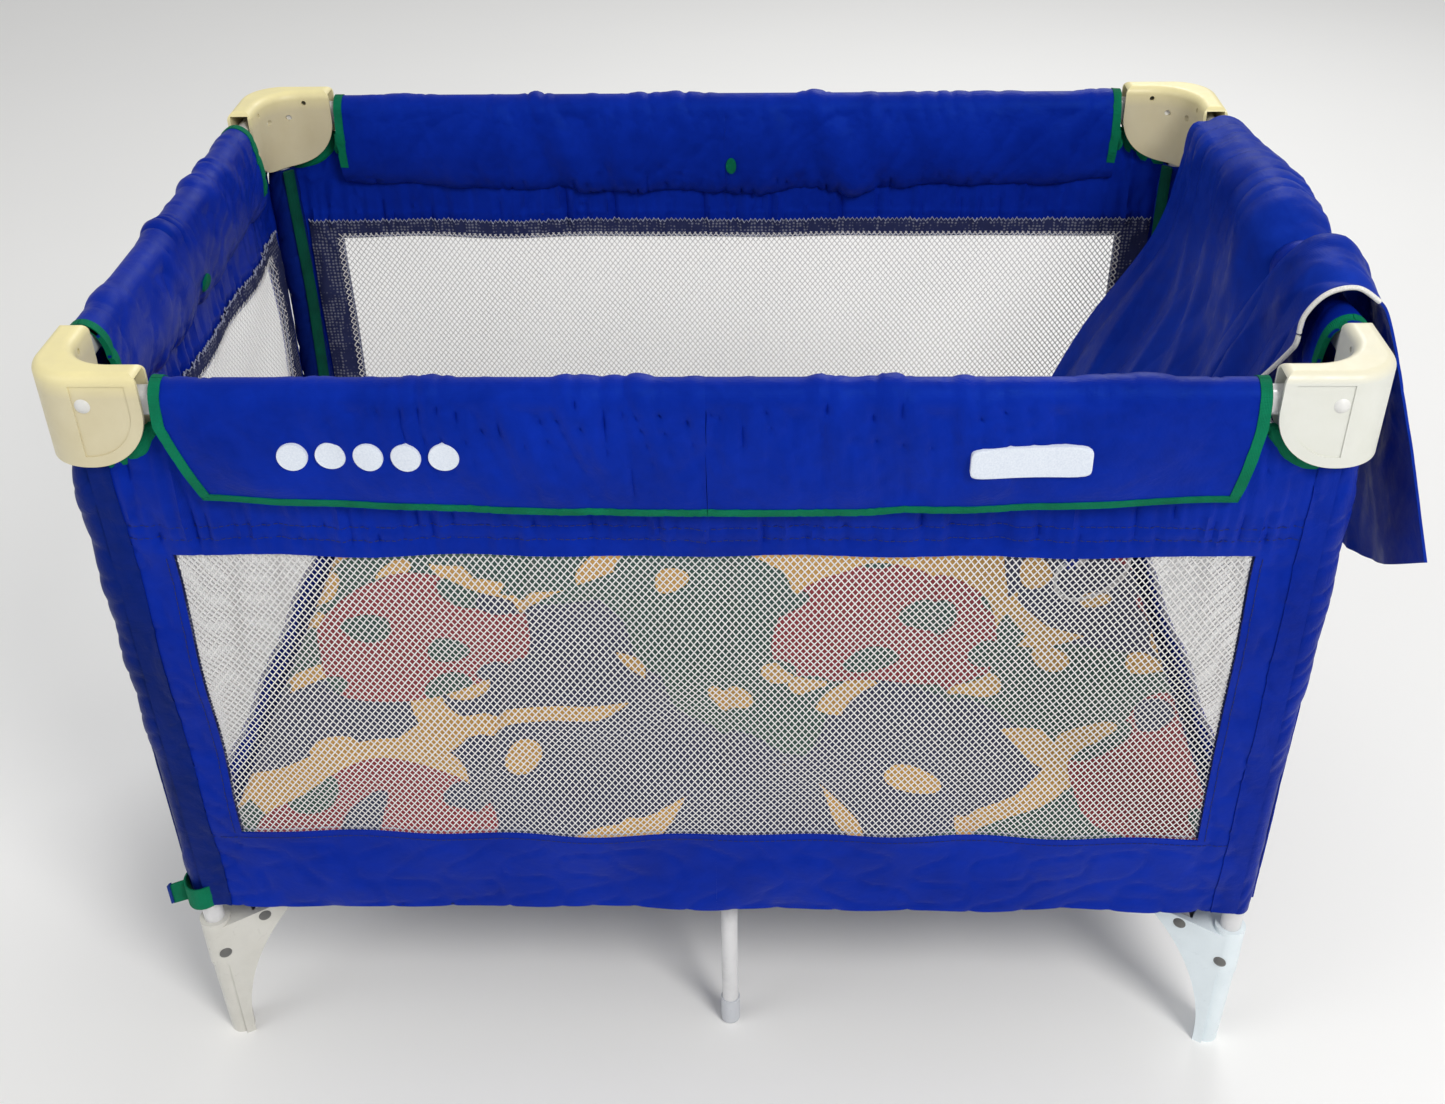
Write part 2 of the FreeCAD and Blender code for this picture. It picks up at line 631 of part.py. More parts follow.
save("hub_housing", hub_housing())
save("hub_pins", *hub_pins())
save("hub_pull_strap", pull_strap())
for end_name, side, end in (("front", 1, -1), ("rear", -1, 1)):
    save("mid_leg_" + end_name, at_corner(mid_leg(), side, end))
    save("mid_leg_tip_" + end_name, at_corner(mid_leg_tip(), side, end))

LONG_OFFSET = HALF_Y - RAIL_INSET
SHORT_OFFSET = HALF_X - RAIL_INSET
# The half that carries the latch fits its pin; the other half's pin is the loose pivot.
FITTED = PIN_RADIUS + RUNNING_CLEARANCE
LOOSE = PIN_RADIUS + OPEN_PIVOT_CLEARANCE
LONG_COVER = HALF_X - CAP_WING - COVER_END_GAP
SHORT_COVER = HALF_Y - CAP_WING - COVER_END_GAP

for end_name, end in ENDS.items():
    for side_name, side in SIDES.items():
        hole = FITTED if side == end else LOOSE
        half = at_corner(rail_half(LONG_PIVOT_X, LONG_OFFSET, hole), side, end)
        save("rail_" + end_name + "_" + side_name, half)
    save("rail_latch_" + end_name, *[at_corner(p, 1, end) for p in rail_latch(LONG_OFFSET)])
    save("latch_button_" + end_name, at_corner(latch_button(LONG_OFFSET), 1, end))
    save("rail_cover_" + end_name, at_corner(rail_cover(LONG_COVER, LONG_OFFSET), 1, end))
    panel = side_panel(POST.x - SLEEVE_RADIUS - 2, HALF_Y - PANEL_INSET, WINDOW_BOTTOM)
    save("side_panel_" + end_name, *[at_corner(p, 1, end) for p in panel])

for side_name, side in SIDES.items():
    for end_name, end in ENDS.items():
        hole = FITTED if side != end else LOOSE
        half = turned_to_side(rail_half(SHORT_PIVOT_Y, SHORT_OFFSET, hole))
        save("rail_" + side_name + "_" + end_name, at_corner(half, side, end))
    latch = [turned_to_side(p) for p in rail_latch(SHORT_OFFSET)]
    save("rail_latch_" + side_name, *[at_corner(p, side, 1) for p in latch])
    save("latch_button_" + side_name, at_corner(turned_to_side(latch_button(SHORT_OFFSET)), side, 1))
    cover = turned_to_side(rail_cover(SHORT_COVER, SHORT_OFFSET))
    save("rail_cover_" + side_name, at_corner(cover, side, 1))
    panel = side_panel(POST.y - SLEEVE_RADIUS - 2, HALF_X - PANEL_INSET, SHORT_WINDOW_BOTTOM)
    save("side_panel_" + side_name, *[at_corner(turned_to_side(p), side, 1) for p in panel])

save("floor_cloth", floor_cloth())
save("mattress", mattress())
save("carry_bag", carry_bag())
save("bag_drawstring", drawstring())
save("webbing_tab", at_corner(webbing_tab(), -1, -1))
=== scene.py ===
import math

import bpy
import numpy as np
from mathutils import Matrix, Vector


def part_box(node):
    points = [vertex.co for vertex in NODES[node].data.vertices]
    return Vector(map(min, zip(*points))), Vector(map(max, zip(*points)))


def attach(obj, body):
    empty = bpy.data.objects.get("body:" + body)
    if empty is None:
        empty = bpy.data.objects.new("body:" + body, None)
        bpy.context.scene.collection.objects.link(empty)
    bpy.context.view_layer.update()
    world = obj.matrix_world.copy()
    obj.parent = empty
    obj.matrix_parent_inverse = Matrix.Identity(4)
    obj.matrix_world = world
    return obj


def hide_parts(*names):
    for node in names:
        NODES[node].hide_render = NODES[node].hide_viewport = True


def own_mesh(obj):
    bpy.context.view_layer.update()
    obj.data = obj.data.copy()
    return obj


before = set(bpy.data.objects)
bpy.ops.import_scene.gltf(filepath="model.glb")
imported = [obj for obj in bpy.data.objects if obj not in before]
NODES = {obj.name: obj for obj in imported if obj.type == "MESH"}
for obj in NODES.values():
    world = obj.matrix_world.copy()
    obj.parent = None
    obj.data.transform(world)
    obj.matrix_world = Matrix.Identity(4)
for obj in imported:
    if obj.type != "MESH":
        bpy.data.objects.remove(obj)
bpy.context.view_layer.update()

# ---------------- places, from the frame

SIDE_SIGN = {"left": -1, "right": 1}
END_SIGN = {"front": -1, "rear": 1}
CORNERS = [(end, side) for end in END_SIGN for side in SIDE_SIGN]


def centre(node):
    """Middle of a node's box."""
    low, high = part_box(node)
    return (low + high) / 2


def radius_of(node):
    """Radius of an upright tube."""
    low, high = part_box(node)
    return (high.x - low.x) / 2


POST = centre("corner_post_rear_right")
TUBE_RADIUS = radius_of("corner_post_rear_right")
SLEEVE_RADIUS = radius_of("post_sleeve_rear_right")
CAP_LOW, CAP_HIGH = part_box("corner_cap_rear_right")
CAP_WING = CAP_HIGH.x - CAP_LOW.x
RAIL_Z = centre("rail_rear_right").z
PANEL_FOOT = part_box("side_panel_rear")[0].z
COVER_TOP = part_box("rail_cover_rear")[1].z
MATTRESS_LOW, MATTRESS_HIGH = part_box("mattress")
FLOOR_LOW, FLOOR_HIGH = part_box("floor_cloth")

# Side panels, in metres: heights of windows and seams, and widths of the bands beside them
LONG_WINDOW_BOTTOM = 0.279
SHORT_WINDOW_BOTTOM = 0.222
WINDOW_TOP = 0.582
WINDOW_SIDE_BAND = 0.047
BAND_SEAM = 0.603
SEAM_ROW = 0.006
PANEL_TOP = 0.662
PANEL_PAST_SLEEVE = 0.006
HEM_DROP = 0.0045
HEM_GAP = 0.0025

# The panels' upper corners, which rise beside the covers and curve under the caps
GUSSET_PEAK = 0.702
GUSSET_GAP = 0.004
CAP_CURVE_RADIUS = 0.048

# Thickness of the cloths
FABRIC = 0.0016
QUILT = 0.003
TAPE_CLOTH = 0.0008
BAG_CLOTH = 0.0022
TAIL_CLOTH = 0.0026

# Stitches (their spacing in stitch lengths), net, tape, bindings and the sewn edges of the sleeves
STITCH = 0.0035
STITCH_SPACING = 1.35
NET_PITCH = 0.0058
NET_HEIGHT = 0.0074
NET_THREAD = 0.0011
TAPE_TOP = 0.019
TAPE_SIDE = 0.036
BINDING_WIDTH = 0.0085
BINDING_FOLD = 0.0018
SLEEVE_WING = 0.017
WING_SPREAD = 0.006

# Pins of the rails: the latch's from the middle of its side, the cap's from the cap's outer face
PIVOT_INSET = 0.045

# How much further than their padding the covers' cloth reaches towards the caps
COVER_REACH = {"front": 0.004, "rear": 0.008, "left": 0.0, "right": 0.0}


class Side:
    """One of the four sides: a runs along it, o outward from the middle, z up."""

    def __init__(self, name):
        self.name = name
        self.long = name in END_SIGN
        self.sign = END_SIGN[name] if self.long else SIDE_SIGN[name]
        axis = 0 if self.long else 1
        self.axis = axis
        self.rail_o = abs(centre("rail_latch_" + name)[1 - axis])
        low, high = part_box("side_panel_" + name)
        self.panel_half = POST[axis] - PANEL_PAST_SLEEVE
        self.panel_out = max(abs(low[1 - axis]), abs(high[1 - axis]))
        self.panel_in = min(abs(low[1 - axis]), abs(high[1 - axis]))
        self.window_half = self.panel_half - WINDOW_SIDE_BAND
        self.window_bottom = LONG_WINDOW_BOTTOM if self.long else SHORT_WINDOW_BOTTOM
        self.cover_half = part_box("rail_cover_" + name)[1][axis] + COVER_REACH[name]
        self.post_a = POST[axis]
        self.wing_end = self.post_a + (CAP_HIGH.x - POST.x) - CAP_WING
        self.pivot_a = CAP_HIGH[axis] - PIVOT_INSET
        self.ends = list(SIDE_SIGN) if self.long else list(END_SIGN)
        self.outward = self.place(0, 1, 0)

    def place(self, a, o, z):
        """World coordinates of points given along, outward and up."""
        a, o, z = np.broadcast_arrays(np.asarray(a, float), o, z)
        across = self.sign * o
        return np.stack([a, across, z] if self.long else [across, a, z], axis=-1)

    def corner_body(self, half):
        """The body of the corner at this half's end."""
        end = self.ends[half]
        names = (self.name, end) if self.long else (end, self.name)
        return "corner_" + "_".join(names)

    def label(self, half):
        """The side's name and its end's, as in the names of pieces and rails."""
        return self.name + "_" + self.ends[half]

    def way(self, half):
        """Which way this half runs along the side: -1 or 1."""
        return -1 if half == 0 else 1

    def face_out(self, grid, half, round_rail=False):
        """Turn a grid's normals outward; its rows run along the side, or round the rail."""
        inward = (self.way(half) * self.sign > 0) == self.long
        return grid if inward == round_rail else grid[::-1]


SIDES = [Side(name) for name in ("front", "rear", "left", "right")]
SIDE = {side.name: side for side in SIDES}


# ---------------- mesh helpers

def new_object(name, points, faces, material, smooth=True):
    """A mesh object in the scene, smooth but for its sharp edges, or flat-shaded."""
    mesh = bpy.data.meshes.new(name)
    mesh.from_pydata([tuple(p) for p in np.asarray(points, float).reshape(-1, 3)], [], faces)
    mesh.validate()
    mesh.materials.append(material)
    for polygon in mesh.polygons:
        polygon.use_smooth = smooth
    if smooth:
        mesh.set_sharp_from_angle(angle=math.radians(62))
    piece = bpy.data.objects.new(name, mesh)
    bpy.context.scene.collection.objects.link(piece)
    return piece


def grid_faces(rows, columns, offset=0, closed_rows=False, flip=False):
    """Four-sided faces of a grid of points, numbered row by row."""
    faces = []
    for i in range(rows if closed_rows else rows - 1):
        for j in range(columns - 1):
            a = offset + i * columns + j
            b = offset + ((i + 1) % rows) * columns + j
            face = (a, b, b + 1, a + 1)
            faces.append(face[::-1] if flip else face)
    return faces


def grid_normals(grid, closed_rows=False):
    """Unit normals at the points of a grid."""
    if closed_rows:
        du = np.roll(grid, -1, axis=0) - np.roll(grid, 1, axis=0)
    else:
        du = np.gradient(grid, axis=0)
    normals = np.cross(du, np.gradient(grid, axis=1))
    return normals / np.maximum(np.linalg.norm(normals, axis=2, keepdims=True), 1e-12)


def skin_faces(rows, columns, closed_rows=False):
    """Faces of a closed skin over two grids of points: the upper one, the lower one and the edges."""
    count = rows * columns
    faces = grid_faces(rows, columns, 0, closed_rows)
    faces += grid_faces(rows, columns, count, closed_rows, flip=True)
    for i in range(rows if closed_rows else rows - 1):
        for j, flip in ((0, False), (columns - 1, True)):
            a, b = i * columns + j, ((i + 1) % rows) * columns + j
            face = (a, a + count, b + count, b)
            faces.append(face[::-1] if flip else face)
    if not closed_rows:
        for j in range(columns - 1):
            for i, flip in ((0, True), (rows - 1, False)):
                a, b = i * columns + j, i * columns + j + 1
                face = (a, a + count, b + count, b)
                faces.append(face[::-1] if flip else face)
    return faces


def shell(grid, thickness, closed_rows=False):
    """Points and faces of a closed cloth shell round a grid of centre points."""
    half = grid_normals(grid, closed_rows) * (thickness / 2)
    points = np.concatenate([(grid + half).reshape(-1, 3), (grid - half).reshape(-1, 3)])
    return points, skin_faces(*grid.shape[:2], closed_rows)


class Builder:
    """Gathers points and faces of several parts of one piece."""

    def __init__(self):
        self.points = []
        self.faces = []
        self.count = 0

    def add(self, points, faces):
        points = np.asarray(points, float).reshape(-1, 3)
        self.points.append(points)
        self.faces += [tuple(i + self.count for i in face) for face in faces]
        self.count += len(points)

    def piece(self, name, material, smooth=True):
        return new_object(name, np.concatenate(self.points), self.faces, material, smooth)


def tube_along(path, radius, sides=8, closed=False, squash_out=1.0, out=None):
    """Points and faces of a round or flattened tube along a list of points."""
    path = np.asarray(path, float)
    if closed:
        tangent = np.roll(path, -1, axis=0) - np.roll(path, 1, axis=0)
    else:
        tangent = np.gradient(path, axis=0)
    tangent /= np.maximum(np.linalg.norm(tangent, axis=1, keepdims=True), 1e-12)
    reference = np.broadcast_to((0.0, 0.0, 1.0) if out is None else out, path.shape)
    side = np.cross(tangent, reference)
    weak = np.linalg.norm(side, axis=1) < 1e-3
    side[weak] = np.cross(tangent[weak], [1.0, 0.3, 0.1])
    side /= np.linalg.norm(side, axis=1, keepdims=True)
    up = np.cross(side, tangent)
    angles = np.arange(sides) * 2 * np.pi / sides
    ring = (np.cos(angles)[None, :, None] * side[:, None, :] * radius
            + np.sin(angles)[None, :, None] * up[:, None, :] * radius * squash_out)
    points = path[:, None, :] + ring
    faces = []
    rows = len(path)
    for i in range(rows if closed else rows - 1):
        for j in range(sides):
            a, b = i * sides + j, i * sides + (j + 1) % sides
            c = ((i + 1) % rows) * sides
            faces.append((a, b, c + (j + 1) % sides, c + j))
    if not closed:
        faces.append(tuple(range(sides))[::-1])
        faces.append(tuple((rows - 1) * sides + j for j in range(sides)))
    return points.reshape(-1, 3), faces


def waves(seed, x, y, size_x, size_y, count=9):
    """Smooth pseudo-random field of about unit size, from a sum of sines with seeded directions."""
    rng = np.random.default_rng(seed)
    total = np.zeros(np.broadcast(x, y).shape)
    for _ in range(count):
        fx = rng.uniform(0.35, 1.6) * rng.choice([-1, 1]) / size_x
        fy = rng.uniform(0.0, 1.3) * rng.choice([-1, 1]) / size_y
        total += np.sin(2 * np.pi * (fx * x + fy * y) + rng.uniform(0, 2 * np.pi))
    return total / math.sqrt(count / 2)


def creases(seed, x, y, size_x, size_y, count=7):
    """Sharp-bottomed folds: 0 on the smooth cloth and 1 in the crease."""
    field = waves(seed, x, y, size_x, size_y, count)
    return np.exp(-np.abs(field) * 3.2)


def smooth_step(x, low, high):
    """0 below low, 1 above high, and a smooth rise between them."""
    t = np.clip((x - low) / (high - low), 0, 1)
    return t * t * (3 - 2 * t)


def distance_along(path):
    """Distance of each point of a path from its start."""
    return np.concatenate([[0], np.cumsum(np.linalg.norm(np.diff(path, axis=0), axis=1))])


def spline(points, count, closed=False):
    """Even samples along a Catmull-Rom curve through a few points."""
    points = np.asarray(points, float)
    n = len(points)
    spans = n if closed else n - 1
    fine = []
    for i in range(spans):
        p = points[[(i + k) % n if closed else min(max(i + k, 0), n - 1) for k in (-1, 0, 1, 2)]]
        square = 2 * p[0] - 5 * p[1] + 4 * p[2] - p[3]
        cube = 3 * p[1] - p[0] - 3 * p[2] + p[3]
        for t in np.linspace(0, 1, 24, endpoint=False):
            fine.append(0.5 * (2 * p[1] + (p[2] - p[0]) * t + square * t ** 2 + cube * t ** 3))
    fine.append(points[0] if closed else points[-1])
    fine = np.array(fine)
    run = distance_along(fine)
    wanted = np.linspace(0, run[-1], count, endpoint=not closed)
    return np.stack([np.interp(wanted, run, fine[:, k]) for k in range(fine.shape[1])], axis=1)


def dashes(builder, path, out, length=STITCH, radius=0.0004):
    """A row of stitches lying on a path."""
    run = distance_along(path)
    count = int(run[-1] / (length * STITCH_SPACING))
    for start in np.arange(count) * length * STITCH_SPACING:
        dash = [[np.interp(start + length * f, run, path[:, k]) for k in range(3)] for f in (0, 0.5, 1)]
        builder.add(*tube_along(dash, radius, 5, out=out))


# ---------------- materials

class Look:
    """A new material: its nodes, its shader and object coordinates."""

    def __init__(self, name):
        self.material = bpy.data.materials.new(name)
        self.material.use_nodes = True
        self.tree = self.material.node_tree
        self.shader = self.tree.nodes["Principled BSDF"]
        self.vector = self.node("TexCoord").outputs["Object"]

    def node(self, kind, **values):
        """A node of a kind, with plain values in its named sockets."""
        node = self.tree.nodes.new("ShaderNode" + kind)
        for socket, value in values.items():
            node.inputs[socket].default_value = value
        return node

    def link(self, value, socket):
        """Feed a socket with a plain value, a plain colour or another socket."""
        if isinstance(value, (int, float)):
            socket.default_value = value
        elif isinstance(value, tuple):
            socket.default_value = (*value, 1.0)
        else:
            self.tree.links.new(value, socket)

    def set(self, name, value):
        self.link(value, self.shader.inputs[name])

    def noise(self, scale, detail=4.0, roughness=0.55, distortion=0.0):
        noise = self.node("TexNoise", Scale=scale, Detail=detail, Roughness=roughness, Distortion=distortion)
        self.link(self.vector, noise.inputs["Vector"])
        return noise.outputs["Fac"]

    def ramp(self, value, stops, interpolation="LINEAR"):
        """Colour looked up from (place, colour) stops."""
        ramp = self.node("ValToRGB")
        ramp.color_ramp.interpolation = interpolation
        elements = ramp.color_ramp.elements
        while len(elements) < len(stops):
            elements.new(0.5)
        for element, (place, colour) in zip(elements, stops):
            element.position = place
            element.color = (*colour, 1.0)
        self.link(value, ramp.inputs["Fac"])
        return ramp.outputs["Color"]

    def paint(self, value, dark, light):
        """Base colour that follows a noise between two (place, colour) stops."""
        self.set("Base Color", self.ramp(value, [dark, light]))

    def polish(self, value, low, high):
        """Roughness that follows a noise between two (place, roughness) stops."""
        self.set("Roughness", self.ramp(value, [(place, (rough,) * 3) for place, rough in (low, high)]))

    def math(self, operation, *values):
        """Sum, product or comparison of sockets and plain numbers."""
        node = self.node("Math")
        node.operation = operation
        for socket, value in zip(node.inputs, values):
            self.link(value, socket)
        return node.outputs["Value"]

    def mix(self, factor, a, b, blend_type="MIX"):
        """Mixture of two colours, each a socket or a plain colour."""
        node = self.node("Mix")
        node.data_type = "RGBA"
        node.blend_type = blend_type
        for name, value in (("Factor", factor), ("A", a), ("B", b)):
            self.link(value, node.inputs[name])
        return node.outputs["Result"]

    def bump(self, heights):
        """Chained bumps, each given as (height, strength, distance)."""
        last = None
        for height, strength, distance in heights:
            bump = self.node("Bump", Strength=strength, Distance=distance)
            self.link(height, bump.inputs["Height"])
            if last is not None:
                self.link(last, bump.inputs["Normal"])
            last = bump.outputs["Normal"]
        self.set("Normal", last)

    def weave(self, pitch):
        """Height of a fine plain weave: crossed ribs at the given pitch, in metres."""
        total = None
        for direction in ("X", "Y", "Z"):
            wave = self.node("TexWave", Scale=1.0 / pitch / 3.2, Distortion=0.3)
            wave.bands_direction = direction
            self.link(self.vector, wave.inputs["Vector"])
            total = wave.outputs["Fac"] if total is None else self.math("ADD", total, wave.outputs["Fac"])
        return total


def nylon(name, light, dark, roughness=0.42, weave=0.0009, crinkle=0.5, gloss=0.16):
    """Woven nylon: colour varies softly and over small crinkles, with a fine weave."""
    look = Look(name)
    cloud = look.noise(9.0, 5.0, 0.6)
    small = look.noise(70.0, 3.0, 0.5, 0.6)
    mixed = look.math("ADD", look.math("MULTIPLY", cloud, 0.7),
                      look.math("MULTIPLY", small, 0.3))
    look.paint(mixed, (0.34, dark), (0.64, light))
    look.polish(small, (0.3, roughness - 0.08), (0.7, roughness + 0.12))
    look.set("Specular IOR Level", gloss)
    look.set("Specular Tint", (0.10, 0.35, 1.0))
    look.bump([
        (look.noise(38.0, 4.0, 0.6, 0.8), 0.35 * crinkle, 0.004),
        (look.noise(160.0, 3.0, 0.5, 0.3), 0.25 * crinkle, 0.0012),
        (look.weave(weave), 0.25, 0.0002),
    ])
    return look.material


def webbing(name, light, dark):
    """Grosgrain binding: fine ribs and slight fading."""
    look = Look(name)
    cloud = look.noise(28.0, 4.0, 0.6)
    look.paint(cloud, (0.32, dark), (0.68, light))
    look.set("Roughness", 0.72)
    look.set("Specular IOR Level", 0.12)
    look.bump([
        (look.weave(0.0011), 0.5, 0.0004),
        (look.noise(220.0, 2.0), 0.3, 0.0005),
    ])
    return look.material


def moulded(name, light, dark, top=None, roughness=0.38, top_z=None):
    """Moulded plastic: faint mottling, scuffs in the gloss, and another shade towards the top."""
    look = Look(name)
    cloud = look.noise(16.0, 5.0, 0.6)
    colour = look.ramp(cloud, [(0.3, dark), (0.7, light)])
    # Another colour above a height: on the caps, yellowing with age together with a painted highlight on
    # their upper faces; on the rivets, the heads' own colour.
    if top is not None:
        position = look.node("SeparateXYZ")
        look.link(look.vector, position.inputs["Vector"])
        height = look.node("MapRange", **{"From Min": top_z[0], "From Max": top_z[1]})
        look.link(position.outputs["Z"], height.inputs["Value"])
        spread = look.math("MULTIPLY", height.outputs["Result"],
                           look.math("ADD", look.math("MULTIPLY", cloud, 0.8), 0.45))
        colour = look.mix(look.math("MINIMUM", spread, 1.0), colour, top)
    look.set("Base Color", colour)
    scuff = look.noise(90.0, 6.0, 0.7, 1.2)
    look.polish(scuff, (0.35, roughness - 0.08), (0.75, roughness + 0.2))
    look.set("Specular IOR Level", 0.45)
    look.bump([(look.noise(420.0, 3.0, 0.5), 0.12, 0.0004),
                             (scuff, 0.08, 0.0006)])
    return look.material


def enamel(name, colour, roughness=0.28):
    """Enamelled steel tube with faint orange peel and rub marks."""
    look = Look(name)
    cloud = look.noise(40.0, 5.0, 0.65)
    look.paint(cloud, (0.35, tuple(c * 0.88 for c in colour)), (0.6, colour))
    look.polish(cloud, (0.3, roughness + 0.2), (0.6, roughness))
    look.set("Coat Weight", 0.3)
    look.set("Coat Roughness", 0.15)
    look.bump([(look.noise(300.0, 2.0), 0.1, 0.0004)])
    return look.material


def metal(name, colour, roughness=0.32):
    """Bare metal with fine scuffs."""
    look = Look(name)
    scuff = look.noise(260.0, 4.0, 0.6)
    look.paint(scuff, (0.3, tuple(c * 0.8 for c in colour)), (0.7, colour))
    look.set("Metallic", 1.0)
    look.polish(scuff, (0.3, roughness + 0.15), (0.7, roughness))
    look.bump([(scuff, 0.15, 0.0003)])
    return look.material


def thread(name, light, dark, sheen=0.2):
    """Spun thread or soft cord, slightly fuzzy."""
    look = Look(name)
    fuzz = look.noise(700.0, 3.0, 0.6)
    look.paint(fuzz, (0.3, dark), (0.7, light))
    look.set("Roughness", 0.7)
    look.set("Sheen Weight", sheen)
    look.bump([(fuzz, 0.4, 0.0003)])
    return look.material


def doubled_net(name, dark, light, scale):
    """Flat net over cloth: small pale meshes on a dark ground."""
    look = Look(name)
    cells = look.node("TexVoronoi", Scale=scale, Randomness=0.25)
    look.link(look.vector, cells.inputs["Vector"])
    look.paint(cells.outputs["Distance"], (0.22, light), (0.42, dark))
    look.set("Roughness", 0.75)
    look.set("Specular IOR Level", 0.15)
    look.bump([(cells.outputs["Distance"], 0.5, 0.0006)])
    return look.material


def printed_cloth(name):
    """Mattress cloth with a generic print: uneven patches in three colours, with red discs and spots."""
    tan, red = (0.88, 0.48, 0.11), (0.40, 0.026, 0.038)
    green, navy = (0.018, 0.085, 0.060), (0.016, 0.022, 0.085)
    look = Look(name)
    bent = look.node("VectorMath")
    bent.operation = "MULTIPLY_ADD"
    noise = look.node("TexNoise", Scale=5.0, Detail=1.0)
    look.link(look.vector, noise.inputs["Vector"])
    look.link(noise.outputs["Color"], bent.inputs[0])
    bent.inputs[1].default_value = (0.16, 0.16, 0.0)
    look.link(look.vector, bent.inputs[2])
    bent = bent.outputs["Vector"]

    def cells(scale, randomness, feature="F1"):
        voronoi = look.node("TexVoronoi", Scale=scale, Randomness=randomness)
        voronoi.voronoi_dimensions = "2D"
        voronoi.feature = feature
        look.link(bent, voronoi.inputs["Vector"])
        return voronoi

    def grey(voronoi):
        split = look.node("SeparateColor")
        look.link(voronoi.outputs["Color"], split.inputs["Color"])
        return split.outputs["Red"]

    def within(voronoi, radius):
        return look.math("LESS_THAN", voronoi.outputs["Distance"], radius)

    patches = [(0.0, green), (0.36, navy), (0.60, tan), (0.78, green)]
    colour = look.ramp(grey(cells(5.2, 0.9)), patches, "CONSTANT")
    seam = within(cells(5.2, 0.9, "DISTANCE_TO_EDGE"), 0.085)
    wide = look.math("GREATER_THAN", look.noise(6.0, 0.0), 0.5)
    colour = look.mix(look.math("MULTIPLY", seam, wide), colour, tan)
    disc = within(cells(2.6, 0.75), 0.30)
    colour = look.mix(disc, colour, red)
    inner = cells(10.5, 0.9)
    spot = look.math("MULTIPLY", within(inner, 0.26), disc)
    spot_colour = look.mix(look.math("GREATER_THAN", grey(inner), 0.5), navy, green)
    colour = look.mix(spot, colour, spot_colour)
    small = cells(11.0, 1.0)
    picked = look.math("GREATER_THAN", grey(small), 0.62)
    dot = look.math("MULTIPLY", within(small, 0.24), picked)
    outside = look.math("SUBTRACT", 1.0, disc)
    colour = look.mix(look.math("MULTIPLY", dot, outside), colour, tan)
    worn = look.noise(30.0, 5.0, 0.7)
    faded = look.ramp(worn, [(0.3, (0.25, 0.22, 0.2)), (0.7, (0.8, 0.75, 0.7))])
    colour = look.mix(0.25, colour, faded, "MULTIPLY")
    look.set("Base Color", colour)
    look.set("Roughness", 0.85)
    look.set("Sheen Weight", 0.3)
    look.bump([(look.noise(45.0, 3.0), 0.3, 0.003),
                             (look.weave(0.0012), 0.4, 0.0003)])
    return look.material


M_COVER = nylon("cover_nylon", (0.003, 0.022, 0.34), (0.002, 0.014, 0.23), crinkle=0.7)
M_PANEL = nylon("panel_nylon", (0.003, 0.022, 0.34), (0.002, 0.014, 0.24), crinkle=0.6)
M_SLEEVE = nylon("sleeve_nylon", (0.003, 0.020, 0.31), (0.002, 0.012, 0.21), crinkle=0.9)
# Darker copy of the sleeve nylon for the left sleeves and the sleeve edges beside them: painted shade on the
# side away from the light.
M_SLEEVE_PAINTED_SHADE = nylon("sleeve_nylon_painted_shade", (0.003, 0.014, 0.17), (0.002, 0.009, 0.10), crinkle=0.9)
M_BAG = nylon("bag_nylon", (0.007, 0.036, 0.38), (0.004, 0.020, 0.25), roughness=0.40, gloss=0.05)
M_FLOOR = nylon("floor_nylon", (0.020, 0.028, 0.12), (0.012, 0.018, 0.08), roughness=0.6, crinkle=0.4)
M_GREEN = webbing("green_binding", (0.0, 0.190, 0.090), (0.0, 0.13, 0.060))
M_GREEN_DARK = webbing("green_corner_tape", (0.0, 0.085, 0.050), (0.0, 0.045, 0.030))
M_BLUE_TAB = webbing("blue_tab", (0.01, 0.04, 0.30), (0.006, 0.03, 0.2))
M_NET = thread("net_thread", (0.82, 0.81, 0.79), (0.60, 0.60, 0.60))
M_TAPE = doubled_net("net_tape", (0.020, 0.026, 0.085), (0.17, 0.18, 0.24), 260.0)
M_OVERLOCK = thread("overlock_thread", (0.42, 0.45, 0.58), (0.22, 0.24, 0.34))
M_STITCH = thread("blue_thread", (0.003, 0.012, 0.14), (0.002, 0.008, 0.09), sheen=0.0)
M_CORD = thread("white_cord", (0.86, 0.85, 0.80), (0.62, 0.61, 0.58))
M_PRINT = printed_cloth("mattress_print")
M_PIPING = nylon("mattress_side", (0.03, 0.04, 0.14), (0.02, 0.025, 0.09), roughness=0.7, crinkle=0.3)
M_PATCH = thread("white_patch", (0.74, 0.79, 0.87), (0.62, 0.68, 0.78))
# The caps' upper faces: yellowing with age, and a painted highlight that makes them much lighter than the
# rest.
M_CAP = moulded("cap_moulding", (0.66, 0.60, 0.41), (0.60, 0.53, 0.34), top=(0.92, 0.82, 0.40),
                top_z=(CAP_HIGH.z - 0.020, CAP_HIGH.z + 0.002))
# Lighter copy of the cap moulding for the front right cap: painted light from the right. Its top is
# yellowing with age under a painted highlight, as on the other caps.
M_CAP_PAINTED_LIGHT = moulded("cap_moulding_painted_light", (0.72, 0.73, 0.68), (0.66, 0.67, 0.60), top=(0.86, 0.78, 0.50),
                     top_z=(CAP_HIGH.z - 0.008, CAP_HIGH.z + 0.004))
M_FOOT = moulded("foot_moulding", (0.70, 0.69, 0.64), (0.60, 0.59, 0.54), roughness=0.34)
